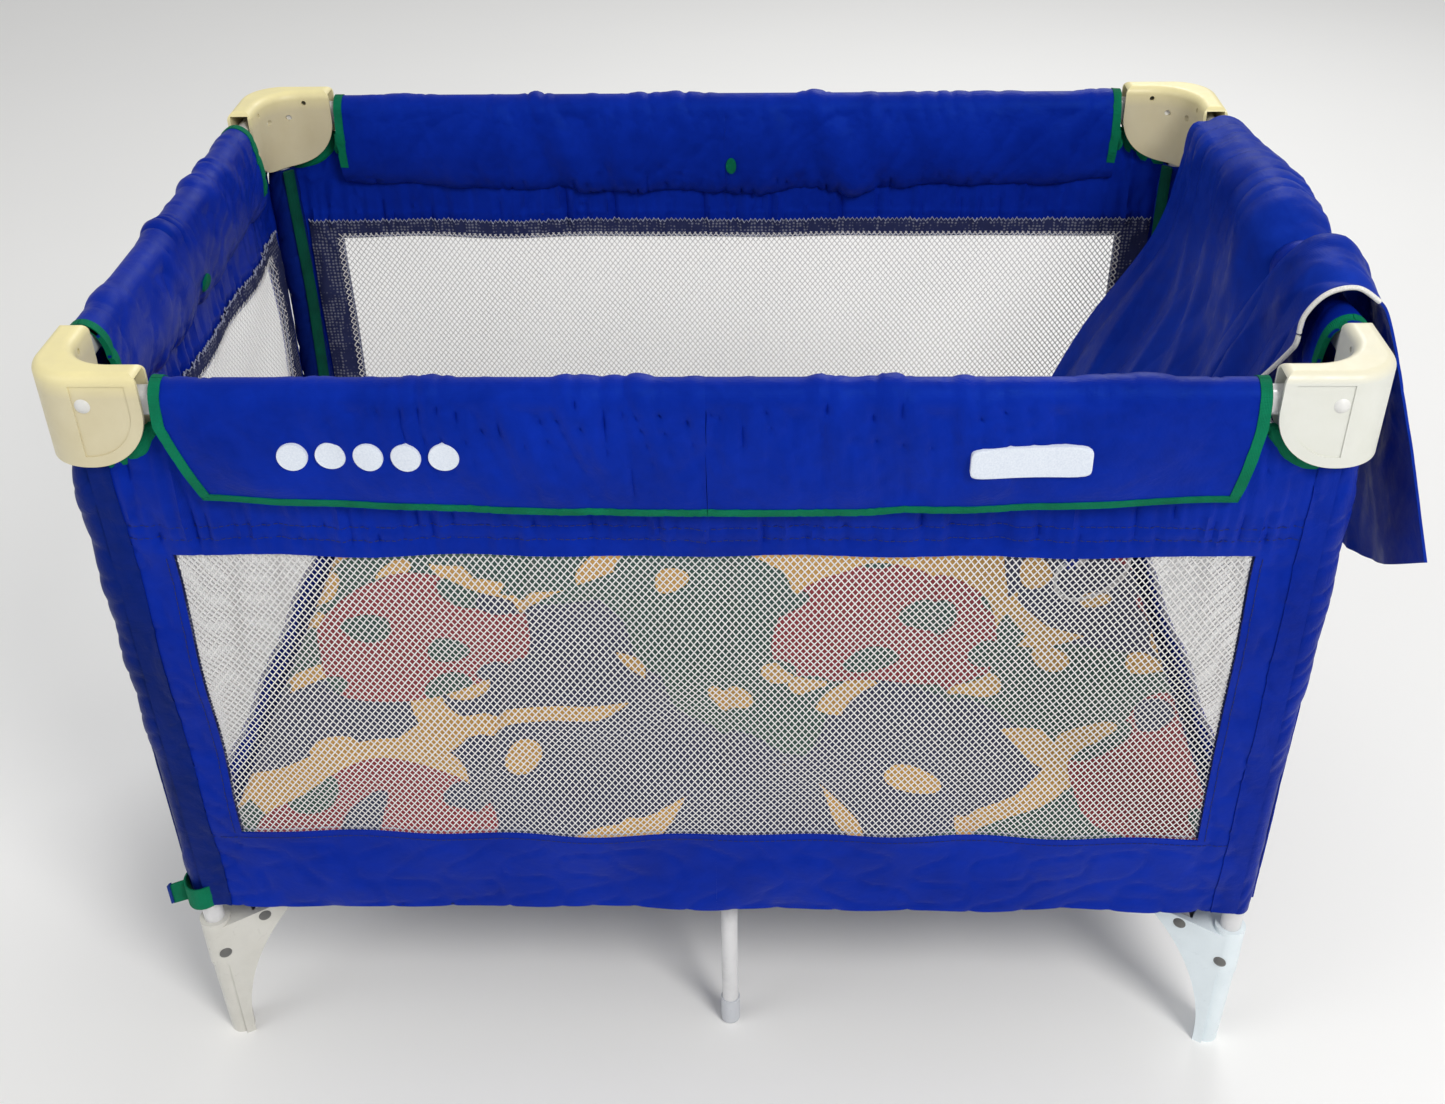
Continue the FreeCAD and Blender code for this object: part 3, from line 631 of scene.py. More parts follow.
# Lighter, bluish copy of the foot moulding for the front right foot: painted light from the right.
M_FOOT_PAINTED_LIGHT = moulded("foot_moulding_painted_light", (0.78, 0.86, 0.90), (0.70, 0.78, 0.82), roughness=0.34)
M_TIP = moulded("tip_moulding", (0.60, 0.62, 0.66), (0.52, 0.54, 0.58), roughness=0.34)
M_HUB = moulded("hub_moulding", (0.80, 0.80, 0.78), (0.70, 0.70, 0.68), roughness=0.4)
M_LATCH = moulded("latch_moulding", (0.72, 0.72, 0.70), (0.62, 0.62, 0.60), roughness=0.4)
M_BUTTON = moulded("button_moulding", (0.50, 0.05, 0.05), (0.40, 0.03, 0.03), roughness=0.4)
M_ENAMEL = enamel("white_enamel", (0.70, 0.70, 0.71))
M_PIN = metal("pin_metal", (0.55, 0.55, 0.55))
M_RIVET = moulded("rivet_heads", (0.15, 0.15, 0.145), (0.11, 0.11, 0.105), top=(0.82, 0.82, 0.80),
                  top_z=(0.40, 0.45))

CAD_MATERIALS = (
    # The front right cap and foot take the lighter copies of their mouldings: painted light.
    ("corner_cap_front_right", M_CAP_PAINTED_LIGHT), ("corner_cap", M_CAP),
    ("corner_foot_front_right", M_FOOT_PAINTED_LIGHT), ("corner_foot", M_FOOT),
    ("corner_post", M_ENAMEL), ("corner_rivets", M_RIVET),
    ("base_tube", M_ENAMEL), ("mid_leg_tip", M_TIP), ("mid_leg", M_ENAMEL), ("hub_housing", M_HUB),
    ("hub_pins", M_PIN), ("hub_pull_strap", M_GREEN), ("rail_latch", M_LATCH), ("latch_button", M_BUTTON),
    ("rail_", M_ENAMEL),
)


def dress_cad():
    """Give each CAD node that stays its procedural material."""
    for name, node in NODES.items():
        for prefix, material in CAD_MATERIALS:
            if name.startswith(prefix) and not name.startswith("rail_cover"):
                node.data.materials.clear()
                node.data.materials.append(material)
                break


# ---------------- side panels

def gusset_top(side, a):
    """Height of the panel's top edge: under the cover in the middle, round the cap's wing at the ends."""
    a = np.abs(a)
    wing_end = side.wing_end
    arc_centre = wing_end + CAP_CURVE_RADIUS
    reach = CAP_CURVE_RADIUS + GUSSET_GAP
    dip = np.sqrt(np.maximum(reach ** 2 - np.minimum(a - arc_centre, 0) ** 2, 0))
    under_cap = CAP_LOW.z + CAP_CURVE_RADIUS - dip
    rise = smooth_step(a, wing_end - 0.020, wing_end - 0.004)
    near_end = PANEL_TOP + rise * (GUSSET_PEAK - PANEL_TOP)
    return np.where(a < wing_end - GUSSET_GAP, near_end, np.minimum(under_cap, near_end))


def panel_offset(side, a, z):
    """How far the panel's cloth stands out from its plane: gathers, slack and creases."""
    seed = 11 + 7 * SIDES.index(side)
    gather_zone = smooth_step(z, WINDOW_TOP - 0.004, WINDOW_TOP + 0.02)
    below_seam = 1 - smooth_step(z, BAND_SEAM + 0.01, BAND_SEAM + 0.045)
    gathers = waves(seed, a, z, 0.016, 0.30) * 0.0012 * gather_zone * (0.45 + 0.55 * below_seam)
    folds = -creases(seed + 1, a, z, 0.040, 0.22) * 0.0028 * gather_zone
    slack = waves(seed + 2, a, z, 0.20, 0.16, 6) * 0.0016
    low_zone = 1 - smooth_step(z, side.window_bottom - 0.02, side.window_bottom)
    low = -creases(seed + 3, a, z, 0.11, 0.05) * 0.0022 * low_zone
    side_zone = smooth_step(np.abs(a), side.window_half - 0.004, side.window_half + 0.01)
    tugs = -creases(seed + 4, a + 0.6 * z, z, 0.05, 0.045) * 0.0022 * side_zone
    seam_z = sum(np.exp(-((z - BAND_SEAM + row) / 0.0022) ** 2) for row in (SEAM_ROW, -SEAM_ROW))
    calm = 1 - smooth_step(np.abs(a), side.panel_half - 0.020, side.panel_half - 0.002)
    return (gathers + folds + slack + low + tugs - 0.0008 * seam_z) * (0.15 + 0.85 * calm)


def panel_middle(side):
    """Outward place of the panel's plane."""
    return (side.panel_out + side.panel_in) / 2


def on_panel(side, a, z, plane=None, lift=0.0):
    """Points of the panel's cloth, or of what follows it on a plane beside it."""
    plane = panel_middle(side) if plane is None else plane
    return side.place(a, plane + panel_offset(side, a, z) + lift, z)


def panel_grid(side, a_values, z_low, z_high, rows):
    """Grid of the panel's cloth between two edges; z_high may be a function of a."""
    a = np.asarray(a_values)[:, None]
    top = z_high(a) if callable(z_high) else z_high
    v = np.linspace(0, 1, rows)[None, :]
    z = z_low + (top - z_low) * v + 0 * a
    return on_panel(side, np.broadcast_to(a, z.shape), z)


def side_values(way, low, high, step):
    """Positions along one half of a side, away from the middle."""
    count = max(3, int(round((high - low) / step)) + 1)
    return way * np.linspace(low, high, count)


def panel_half_piece(side, half):
    """Half of a side's cloth: the band over the window, the band under it and the one beside it."""
    way = side.way(half)
    builder = Builder()
    parts = [
        (0.0, side.panel_half, WINDOW_TOP, lambda a: gusset_top(side, a), 34),
        (0.0, side.panel_half, PANEL_FOOT - HEM_DROP, side.window_bottom, 26),
        (side.window_half, side.panel_half, side.window_bottom, WINDOW_TOP, 70),
    ]
    for low, high, bottom, top, rows in parts:
        step = 0.0035 if low == 0.0 else 0.003
        grid = panel_grid(side, side_values(way, low, high, step), bottom, top, rows)
        builder.add(*shell(side.face_out(grid, half), FABRIC))
    piece = builder.piece(f"side_panel_{side.label(half)}", M_PANEL)
    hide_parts("side_panel_" + side.name)
    fold_with_corner(piece, side, half)
    return piece


def fold_with_corner(piece, side, half):
    """Ride the corner, with a mesh of its own."""
    way = side.way(half)
    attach(piece, side.corner_body(half))
    lean = math.radians(8)
    axis = Vector(side.place(way, 0, 0)) * math.cos(lean) + Vector(side.outward) * math.sin(lean)
    anchor = side.place(way * side.post_a, side.panel_in, WINDOW_TOP)
    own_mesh(piece)


# ---------------- net windows

def net_piece(side, half):
    """Diamond net of crossed threads, sewn to the inner face of the panel round the window."""
    way = side.way(half)
    builder = Builder()
    high_a = side.window_half + 0.006
    low_z, high_z = side.window_bottom - 0.004, WINDOW_TOP + 0.005
    slope = NET_HEIGHT / NET_PITCH
    reach = (high_z - low_z) / slope
    start = math.floor(-reach / NET_PITCH) * NET_PITCH
    for lean in (1, -1):
        inside = side.panel_in - 0.0010 - (0.0005 if lean > 0 else 0)
        for foot in np.arange(start, high_a + reach, NET_PITCH):
            far = foot + lean * reach
            t0, t1 = sorted([-foot / (far - foot), (high_a - foot) / (far - foot)])
            t0, t1 = max(t0, 0.0), min(t1, 1.0)
            if t1 - t0 < 0.02:
                continue
            t = np.linspace(t0, t1, max(2, int((t1 - t0) * 36)))
            a = way * (foot + (far - foot) * t)
            z = low_z + (high_z - low_z) * t
            covered = np.maximum(smooth_step(z, WINDOW_TOP, WINDOW_TOP + 0.006),
                                 smooth_step(np.abs(a), side.window_half, side.window_half + 0.006))
            line = on_panel(side, a, z, inside, -0.0030 * covered)
            builder.add(*tube_along(line, NET_THREAD / 2, 4, squash_out=0.5, out=side.outward))
    piece = builder.piece(f"net_{side.label(half)}", M_NET, smooth=False)
    fold_with_corner(piece, side, half)
    return piece


def net_tape(side, half):
    """Doubled dark net sewn flat over the cloth round the window, on the inside."""
    way = side.way(half)
    builder = Builder()
    end, foot = side.window_half + TAPE_SIDE, WINDOW_TOP - 0.001
    strips = [(0.0, end, foot, WINDOW_TOP + TAPE_TOP),
              (side.window_half - 0.001, end, side.window_bottom, foot)]
    for low, high, bottom, top in strips:
        a = side_values(way, low, high, 0.0035)[:, None]
        z = np.linspace(bottom, top, max(6, int((top - bottom) / 0.004)))[None, :]
        a, z = np.broadcast_arrays(a, z)
        grid = on_panel(side, a, z, side.panel_in - 0.0016)
        builder.add(*shell(side.face_out(grid, half), TAPE_CLOTH))
    piece = builder.piece(f"net_tape_{side.label(half)}", M_TAPE)
    fold_with_corner(piece, side, half)
    return piece


def overlock_piece(side, half):
    """Zigzag overlock edge round the net on the inside."""
    way = side.way(half)
    builder = Builder()
    inner = side.panel_in - 0.0028
    step, wide, narrow = 0.0024, 0.0035, 0.00175
    runs = [
        ((0.0, WINDOW_TOP + TAPE_TOP), (side.window_half + TAPE_SIDE, WINDOW_TOP + TAPE_TOP), wide),
        ((0.0, WINDOW_TOP + 0.001), (side.window_half, WINDOW_TOP + 0.001), narrow),
        ((side.window_half, WINDOW_TOP), (side.window_half, side.window_bottom), narrow),
        ((0.0, side.window_bottom), (side.window_half, side.window_bottom), narrow),
    ]
    for start, end, swing in runs:
        start, end = np.array(start), np.array(end)
        length = np.linalg.norm(end - start)
        count = max(4, int(length / step))
        t = np.linspace(0, 1, count)[:, None]
        line = start + (end - start) * t
        normal = np.array([-(end - start)[1], (end - start)[0]]) / length
        line = line + normal * ((np.arange(count) % 2)[:, None] - 0.5) * swing
        path = on_panel(side, way * line[:, 0], line[:, 1], inner)
        builder.add(*tube_along(path, 0.0006, 4, out=side.outward))
    piece = builder.piece(f"overlock_{side.label(half)}", M_OVERLOCK)
    fold_with_corner(piece, side, half)
    return piece


# ---------------- rail covers

def cover_section(samples):
    """Outline of a padded cover, as (outward, up) from its rail's centre; the flap is outside."""
    outline = [
        (0.0110, -0.0800), (0.0160, -0.062), (0.0176, -0.038), (0.0168, -0.014), (0.0135, 0.0060),
        (0.0060, 0.0150), (-0.0040, 0.0150), (-0.0130, 0.0060), (-0.0182, -0.014), (-0.0192, -0.038),
        (-0.0150, -0.060), (-0.0070, -0.073), (0.0000, -0.0760), (0.0045, -0.0760),
    ]
    return spline(outline, samples, closed=True)


def cover_half_grid(side, half, samples=96, step=0.0034):
    """Grid of half a cover, round the rail and then along it, with its folds; and the bare outline."""
    way = side.way(half)
    section = cover_section(samples)
    a = side_values(way, 0.0, side.cover_half, step)
    seed = 101 + 13 * SIDES.index(side)
    s = np.linspace(0, 1, samples, endpoint=False)[:, None]
    out, up = section[:, 0][:, None], section[:, 1][:, None]
    along = np.broadcast_to(a[None, :], (samples, len(a)))
    reach = np.abs(along) / side.cover_half
    busy = 1 - smooth_step(reach, 0.40, 0.85)
    outer = smooth_step(out, -0.004, 0.006)
    inner = 1 - outer
    crest = np.exp(-((up - 0.010) / 0.026) ** 2)
    low = smooth_step(-up, 0.035, 0.075)
    depth = 0.0034 * crest + 0.0026 * outer * (1 - 0.8 * low)
    puckers = -creases(seed, along + 0.25 * up, up, 0.046, 0.20) * depth * (0.15 + 0.85 * busy)
    depth = (0.0042 * inner + 0.0020 * outer) * low * (0.2 + 0.8 * busy)
    gathers = -creases(seed + 1, along, up, 0.021, 0.12) * depth
    flap = waves(seed + 2, along, up, 0.11, 0.22, 6) * 0.0011 * smooth_step(-up, 0.0, 0.07)
    broad = waves(seed + 3, along, s, 0.15, 0.8, 6) * 0.0011
    soft = waves(seed + 5, along + 0.35 * up, up, 0.075, 0.30, 5) * (0.0013 if side.long else 0.0020)
    broad = broad + soft * (0.2 + 0.8 * busy) * (1 - 0.6 * low * outer)
    drag = -creases(seed + 4, along - 0.9 * up, up, 0.070, 0.12) * 0.0018 * (0.35 + 0.65 * inner)
    push = puckers + gathers + flap + broad + drag
    flap_edge = smooth_step(-up, 0.060, 0.076) * outer
    push = push * (1 - 0.75 * flap_edge)
    over_rail = smooth_step(up, -0.012, 0.008)
    push = np.maximum(push, -0.0060 + 0.0052 * over_rail) + 0.0006 * over_rail
    for line in (0.034, 0.040):
        push = push - 0.0012 * np.exp(-((np.abs(along) - side.cover_half + line) / 0.0016) ** 2) * inner
    grid = np.stack([out + 0 * along, up + 0 * along], axis=-1)
    tangent = np.roll(grid, -1, axis=0) - np.roll(grid, 1, axis=0)
    normal = np.stack([tangent[..., 1], -tangent[..., 0]], axis=-1)
    normal /= np.maximum(np.linalg.norm(normal, axis=-1, keepdims=True), 1e-9)
    turn = np.sign((normal * (grid - grid.mean(axis=0))).sum(axis=(0, 2)).mean())
    grid = grid + normal * turn * push[..., None]
    # The flap's ends are cut back at a slant below the rail, and the lower edges dip in the middle.
    corner = 0.010 if side.name == "front" and half == 1 else 0.023
    cut = corner * np.clip((-up - 0.014) / 0.064, 0, 1) * outer
    stretched = along * (1 - cut / side.cover_half)
    dip = -0.014 * smooth_step(-up, 0.02, 0.078) * np.cos(np.clip(reach, 0, 1) * np.pi / 2)
    z = RAIL_Z + grid[..., 1] + dip * (1 if side.long else 0.5)
    return side.place(stretched, side.rail_o + grid[..., 0], z), section


def rail_cover_piece(side, half):
    """Padded cloth wrapped round half a rail."""
    grid, section = cover_half_grid(side, half)
    points, faces = shell(side.face_out(grid, half, round_rail=True), QUILT, closed_rows=True)
    piece = new_object(f"rail_cover_{side.label(half)}", points, faces, M_COVER)
    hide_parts("rail_cover_" + side.name)
    cover_rides(piece, side, half)
    return piece, grid, section


def cover_rides(piece, side, half):
    """Ride the half rail, with a mesh of its own."""
    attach(piece, "rail_" + side.label(half))
    anchor = side.place(0, side.rail_o, COVER_TOP)
    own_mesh(piece)


def flap_binding(side, half, grid, section):
    """Green binding folded over the slanted end of the flap and its lower edge, following the cover."""
    out, up = section[:, 0], section[:, 1]
    crown = int(np.argmax(up))
    low_rows = int(np.sum(distance_along(section)[1:] < BINDING_WIDTH))
    builder = Builder()
    inner_end = int(np.argmax((out < -0.010) & (up < -0.052)))
    strips = [cut_strip(grid[:crown + 1], BINDING_WIDTH), grid[:low_rows + 1],
              cut_strip(grid[crown:inner_end + 1], BINDING_WIDTH)]
    for strip in strips:
        strip = side.face_out(strip, half, round_rail=True)
        builder.add(*shell(strip, QUILT + BINDING_FOLD))
    piece = builder.piece(f"flap_binding_{side.label(half)}", M_GREEN)
    cover_rides(piece, side, half)
    return piece


def cut_strip(grid, width, columns=5):
    """The last columns of a grid, cut back to an even width from its end."""
    step = np.linalg.norm(grid[:, -1] - grid[:, -2], axis=1).mean()
    places = len(grid[0]) - 1 - np.linspace(width / step, 0, columns)
    low = np.floor(places).astype(int).clip(0, len(grid[0]) - 2)
    part = (places - low)[None, :, None]
    return grid[:, low] * (1 - part) + grid[:, low + 1] * part


def gusset_binding(side, half):
    """Green binding from the cover's inner end along the panel's edge below the cap."""
    way = side.way(half)
    a = np.linspace(side.wing_end - 0.0030, side.panel_half - 0.002, 44)
    edge = on_panel(side, way * a, gusset_top(side, a))
    past_cover = np.array([-0.0035, -0.0025, 0.002])
    inside_rail = np.array([0.0175, 0.0170, 0.0080])
    lead_z = np.array([0.704, 0.692, 0.684])
    lead = side.place(way * (side.cover_half + past_cover), side.rail_o - inside_rail, lead_z)
    line = spline(np.concatenate([lead, edge[3::10]]), 60)
    builder = Builder()
    builder.add(*tube_along(line, 0.0056, 10, squash_out=0.42, out=side.outward))
    piece = builder.piece(f"gusset_binding_{side.label(half)}", M_GREEN)
    fold_with_corner(piece, side, half)
    return piece


def panel_stitches(side, half):
    """Double row of stitches on the gathered band, and single rows under and beside the window."""
    way = side.way(half)
    builder = Builder()
    lift = FABRIC / 2 + 0.0002
    for z in (BAND_SEAM - SEAM_ROW, BAND_SEAM + SEAM_ROW, side.window_bottom - SEAM_ROW):
        a = side_values(way, 0.002, side.panel_half - 0.004, 0.004)
        dashes(builder, on_panel(side, a, np.full_like(a, z), lift=lift), side.outward)
    z = np.linspace(side.window_bottom, WINDOW_TOP, 70)
    a = np.full_like(z, way * (side.window_half + SEAM_ROW))
    dashes(builder, on_panel(side, a, z, lift=lift), side.outward)
    piece = builder.piece(f"panel_stitches_{side.label(half)}", M_STITCH)
    fold_with_corner(piece, side, half)
    return piece


# ---------------- posts

def sleeve_piece(end, side_name):
    """Slack fabric sleeve round a post, with slanting creases and a little narrower at its ends."""
    node = f"post_sleeve_{end}_{side_name}"
    low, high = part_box(node)
    middle = (low + high) / 2
    seed = 300 + CORNERS.index((end, side_name))
    angles = np.linspace(0, 2 * np.pi, 56, endpoint=False)[:, None]
    z = np.linspace(low.z, high.z + 0.004, 150)[None, :]
    turned = np.minimum(angles, 2 * np.pi - angles) * SLEEVE_RADIUS
    twist = creases(seed, z + 0.7 * turned, turned, 0.060, 0.060) * 0.0019
    ripple = waves(seed + 1, z, np.sin(angles) * 0.02, 0.12, 0.05, 6) * 0.0006
    neck = 0.0022 * smooth_step(z, high.z - 0.03, high.z)
    neck = neck + 0.0030 * (1 - smooth_step(z, low.z, low.z + 0.05))
    radius = SLEEVE_RADIUS - 0.0008 - twist + ripple - neck
    pull = 0.0042 * np.exp(-((z - 0.30) / 0.10) ** 2)
    grid = np.stack([middle.x - np.sign(middle.x) * pull + radius * np.cos(angles),
                     middle.y - np.sign(middle.y) * pull + radius * np.sin(angles),
                     np.broadcast_to(z, radius.shape)], axis=-1)
    from_post = grid[..., :2] - np.array([middle.x, middle.y])
    distance = np.linalg.norm(from_post, axis=-1)
    grid[..., :2] += from_post * (np.maximum((TUBE_RADIUS + FABRIC) / distance, 1) - 1)[..., None]
    points, faces = shell(grid, FABRIC, closed_rows=True)
    # The left sleeves take the darker copy of the nylon: painted shade.
    material = M_SLEEVE_PAINTED_SHADE if side_name == "left" else M_SLEEVE
    piece = new_object(f"sleeve_{end}_{side_name}", points, faces, material)
    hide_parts(node)
    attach(piece, f"corner_{end}_{side_name}")
    return piece


def sleeve_wing(side, half):
    """Flat edge of a post's sleeve, sewn over the end of the side panel and wider towards the floor."""
    way = side.way(half)
    u = np.linspace(0, 1, 9)[:, None]
    v = np.linspace(0, 1, 120)[None, :]
    a = way * (side.panel_half + 0.002 - (1 - u) * (SLEEVE_WING + WING_SPREAD * (1 - v)))
    bottom = PANEL_FOOT - HEM_DROP
    z = bottom + (gusset_top(side, a) - 0.002 - bottom) * v
    grid = on_panel(side, a, z, lift=FABRIC * 0.75)
    points, faces = shell(side.face_out(grid, half), FABRIC)
    # Edges of the left sleeves take the darker copy of the nylon: painted shade.
    material = M_SLEEVE_PAINTED_SHADE if "left" in (side.name, side.ends[half]) else M_SLEEVE
    piece = new_object(f"sleeve_wing_{side.label(half)}", points, faces, material)
    fold_with_corner(piece, side, half)
    return piece


def corner_binding(end, side_name):
    """Green binding down the inside corner, from the cap to the floor."""
    inward = np.array([-SIDE_SIGN[side_name], -END_SIGN[end], 0.0]) / math.sqrt(2)
    post = np.array([SIDE_SIGN[side_name] * POST.x, END_SIGN[end] * POST.y, 0.0])
    z = np.linspace(FLOOR_HIGH.z + 0.004, CAP_LOW.z - 0.002, 60)
    sway = 0.0012 * np.sin(z * 23 + CORNERS.index((end, side_name)))
    across = np.array([-inward[1], inward[0], 0.0])
    path = post + inward * (SLEEVE_RADIUS + 0.0015) + across * sway[:, None]
    path[:, 2] = z
    builder = Builder()
    builder.add(*tube_along(path, 0.0066, 8, squash_out=0.4, out=inward))
    piece = builder.piece(f"corner_binding_{end}_{side_name}", M_GREEN_DARK)
    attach(piece, f"corner_{end}_{side_name}")
    return piece


# ---------------- floor cloth and mattress

def floor_quarter(end, side_name):
    """A quarter of the cloth floor, which rides its base tube."""
    sx, sy = SIDE_SIGN[side_name], END_SIGN[end]
    x = np.linspace(0, FLOOR_HIGH.x + HEM_GAP, 60)
    y = np.linspace(0, FLOOR_HIGH.y + HEM_GAP, 40)
    gx, gy = np.meshgrid(x, y, indexing="ij")
    corner_cut = np.clip((gx - 0.44) / 0.044, 0, 1) * np.clip((gy - 0.27) / 0.04, 0, 1)
    long_side, short_side = SIDE[end], SIDE[side_name]
    edge_x = panel_middle(short_side) + panel_offset(short_side, sy * gy, FLOOR_LOW.z)
    edge_y = panel_middle(long_side) + panel_offset(long_side, sx * gx, FLOOR_LOW.z)
    gx, gy = (gx + (edge_x - x[-1]) * smooth_step(gx, x[-1] - 0.02, x[-1]) - 0.034 * corner_cut,
              gy + (edge_y - y[-1]) * smooth_step(gy, y[-1] - 0.02, y[-1]) - 0.034 * corner_cut)
    z = FLOOR_LOW.z + 0.0012 + waves(41, gx, gy, 0.2, 0.2, 5) * 0.0002
    grid = np.stack([sx * gx, sy * gy, z], axis=-1)
    if sx * sy < 0:
        grid = grid[::-1]
    points, faces = shell(grid, FABRIC)
    piece = new_object(f"floor_cloth_{end}_{side_name}", points, faces, M_FLOOR)
    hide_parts("floor_cloth")
    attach(piece, f"base_{end}_{side_name}")
    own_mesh(piece)
    return piece


def mattress_piece():
    """Thin folding pad: four panels with creases between them, softly crowned."""
    low, high = MATTRESS_LOW, MATTRESS_HIGH
    half_x, half_y = high.x, high.y
    thick = high.z - low.z
    x = np.linspace(-half_x, half_x, 200)
    y = np.linspace(-half_y, half_y, 120)
    gx, gy = np.meshgrid(x, y, indexing="ij")
    radius = 0.030
    dx = np.maximum(np.abs(gx) - (half_x - radius), 0)
    dy = np.maximum(np.abs(gy) - (half_y - radius), 0)
    reach = np.maximum(dx, dy)
    corner = np.hypot(dx, dy)
    pull = np.where(corner > 1e-9, reach / np.maximum(corner, 1e-9), 1)
    px = np.sign(gx) * (np.minimum(np.abs(gx), half_x - radius) + dx * pull)
    py = np.sign(gy) * (np.minimum(np.abs(gy), half_y - radius) + dy * pull)
    edge = np.clip(np.minimum(half_x - np.abs(gx), half_y - np.abs(gy)) / 0.016, 0, 1)
    rounded = np.sqrt(np.maximum(1 - (1 - edge) ** 2, 0))
    fold_lines = sum(np.exp(-((px - k * half_x / 2) / 0.006) ** 2) for k in (-1, 0, 1))
    crown = waves(71, px, py, 0.16, 0.14, 7) * 0.0008 - 0.0075 * fold_lines
    top = low.z + thick * (0.5 + 0.44 * rounded) + crown * rounded
    bottom = low.z + thick * (0.5 - 0.48 * rounded)
    points = [np.stack([px, py, height], axis=-1).reshape(-1, 3) for height in (top, bottom)]
    piece = new_object("mattress_pad", np.concatenate(points), skin_faces(*px.shape), M_PRINT)
    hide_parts("mattress")
    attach(piece, "mattress")
    rim = []
    for t in np.linspace(0, 2 * np.pi, 240, endpoint=False):
        c, s = math.cos(t), math.sin(t)
        scale = 1 / (abs(c) ** 12 + abs(s) ** 12) ** (1 / 12)
        rim.append((c * scale * (half_x - 0.0005), s * scale * (half_y - 0.0005), low.z + thick * 0.5))
    builder = Builder()
    builder.add(*tube_along(rim, 0.0022, 8, closed=True))
    piping = builder.piece("mattress_piping", M_PIPING)
    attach(piping, "mattress")
    return piece


# ---------------- bag over the right rail

BAG_COLUMNS = 120
# Sections of the bag from front to rear: y, inner hem (x, z), outer hem (x, z), height of the crown,
# and how far the outer hem flares forward
BAG_SECTIONS = [
    (-0.208, (0.4600, 0.712), (0.5560, 0.580), 0.761, 0.110),
    (-0.165, (0.4480, 0.650), (0.5570, 0.520), 0.762, 0.066),
    (-0.120, (0.4300, 0.585), (0.5560, 0.486), 0.762, 0.030),
    (-0.050, (0.3560, 0.386), (0.5550, 0.478), 0.760, 0.006),
    (0.025, (0.3480, 0.386), (0.5550, 0.481), 0.763, 0.0),
    (0.105, (0.3480, 0.400), (0.5520, 0.492), 0.756, 0.0),
    (0.165, (0.3480, 0.425), (0.5480, 0.506), 0.752, 0.0),
    (0.208, (0.3490, 0.440), (0.5450, 0.520), 0.750, 0.0),
]


def bag_grid():
    """The empty bag: a sheet bent over the right rail, hanging in flared folds inside and out.

    Rows run from the mouth at the front to the rear, columns from the inner hem over the rail
    to the outer hem.
    """
    rail = SIDE["right"].rail_o
    rows = []
    for y, (in_x, in_z), (out_x, out_z), crown, flare in BAG_SECTIONS:
        top_z, hang_x = 0.738, rail - 0.031
        drop = top_z - in_z
        lean = (hang_x - in_x) / 0.115
        path = [
            (in_x, y, in_z),
            (in_x + 0.041 * lean, y, top_z - 0.70 * drop),
            (hang_x - 0.021 * lean, y, top_z - 0.38 * drop),
            (hang_x - 0.006 * lean, y, top_z - 0.16 * drop),
            (hang_x, y, top_z),
            (rail - 0.016, y, crown - 0.004),
            (rail + 0.002, y, crown),
            (rail + 0.022, y, crown - 0.010),
            (rail + 0.038, y, crown - 0.035),
            (0.5 * (rail + 0.044 + out_x), y - 0.42 * flare, crown - 0.045 - 0.45 * (crown - 0.045 - out_z)),
            (out_x, y - flare, out_z),
        ]
        rows.append(spline(path, BAG_COLUMNS))
    rows = np.array(rows)
    ys = np.array([[section[0]] for section in BAG_SECTIONS])
    cut = spline(np.concatenate([ys, rows.reshape(len(ys), -1)], axis=1), 500)
    fine = np.linspace(cut[0, 0], cut[-1, 0], 150)
    grid = np.stack([np.interp(fine, cut[:, 0], cut[:, k]) for k in range(1, cut.shape[1])], axis=1)
    return grid.reshape(len(fine), BAG_COLUMNS, 3)


# Folds of the bag: start and end as (front-to-rear, inner-to-outer) fractions, width and height in metres.
BAG_FOLDS = [
    ((0.90, 0.60), (0.80, 0.00), 0.070, 0.011),
    ((0.80, 0.58), (0.56, 0.00), 0.085, 0.015),
    ((0.70, 0.58), (0.36, 0.04), 0.070, 0.013),
    ((0.50, 0.60), (0.24, 0.20), 0.055, 0.009),
    ((0.28, 0.60), (0.12, 0.34), 0.040, 0.006),
    ((0.98, 0.56), (0.58, 0.68), 0.040, 0.007),
    ((0.60, 0.60), (0.46, 0.76), 0.050, 0.010),
    ((0.84, 0.66), (0.88, 0.98), 0.060, 0.008),
    ((0.50, 0.66), (0.52, 0.98), 0.060, 0.009),
    ((0.20, 0.66), (0.22, 0.98), 0.060, 0.006),
    ((0.62, 0.46), (0.34, 0.40), 0.040, 0.005),
]


def bag_lift(u, v):
    """Height of the folds over the bag's smooth surface."""
    total = np.zeros(np.broadcast(u, v).shape)
    for (u0, v0), (u1, v1), width, height in BAG_FOLDS:
        du, dv = u1 - u0, v1 - v0
        t = np.clip(((u - u0) * du + (v - v0) * dv) / (du * du + dv * dv), 0, 1)
        wander = 0.018 * np.sin(9 * t + 20 * u0)
        across = np.abs((u - u0 - du * t + wander) * 0.42) + np.abs(v - v0 - dv * t) * 0.25
        spread = width * (0.30 + 0.70 * t)
        tent = np.maximum(1 - across / spread, 0)
        total = np.maximum(total, height * (0.15 + 0.85 * t) * tent ** 1.3)
    return total


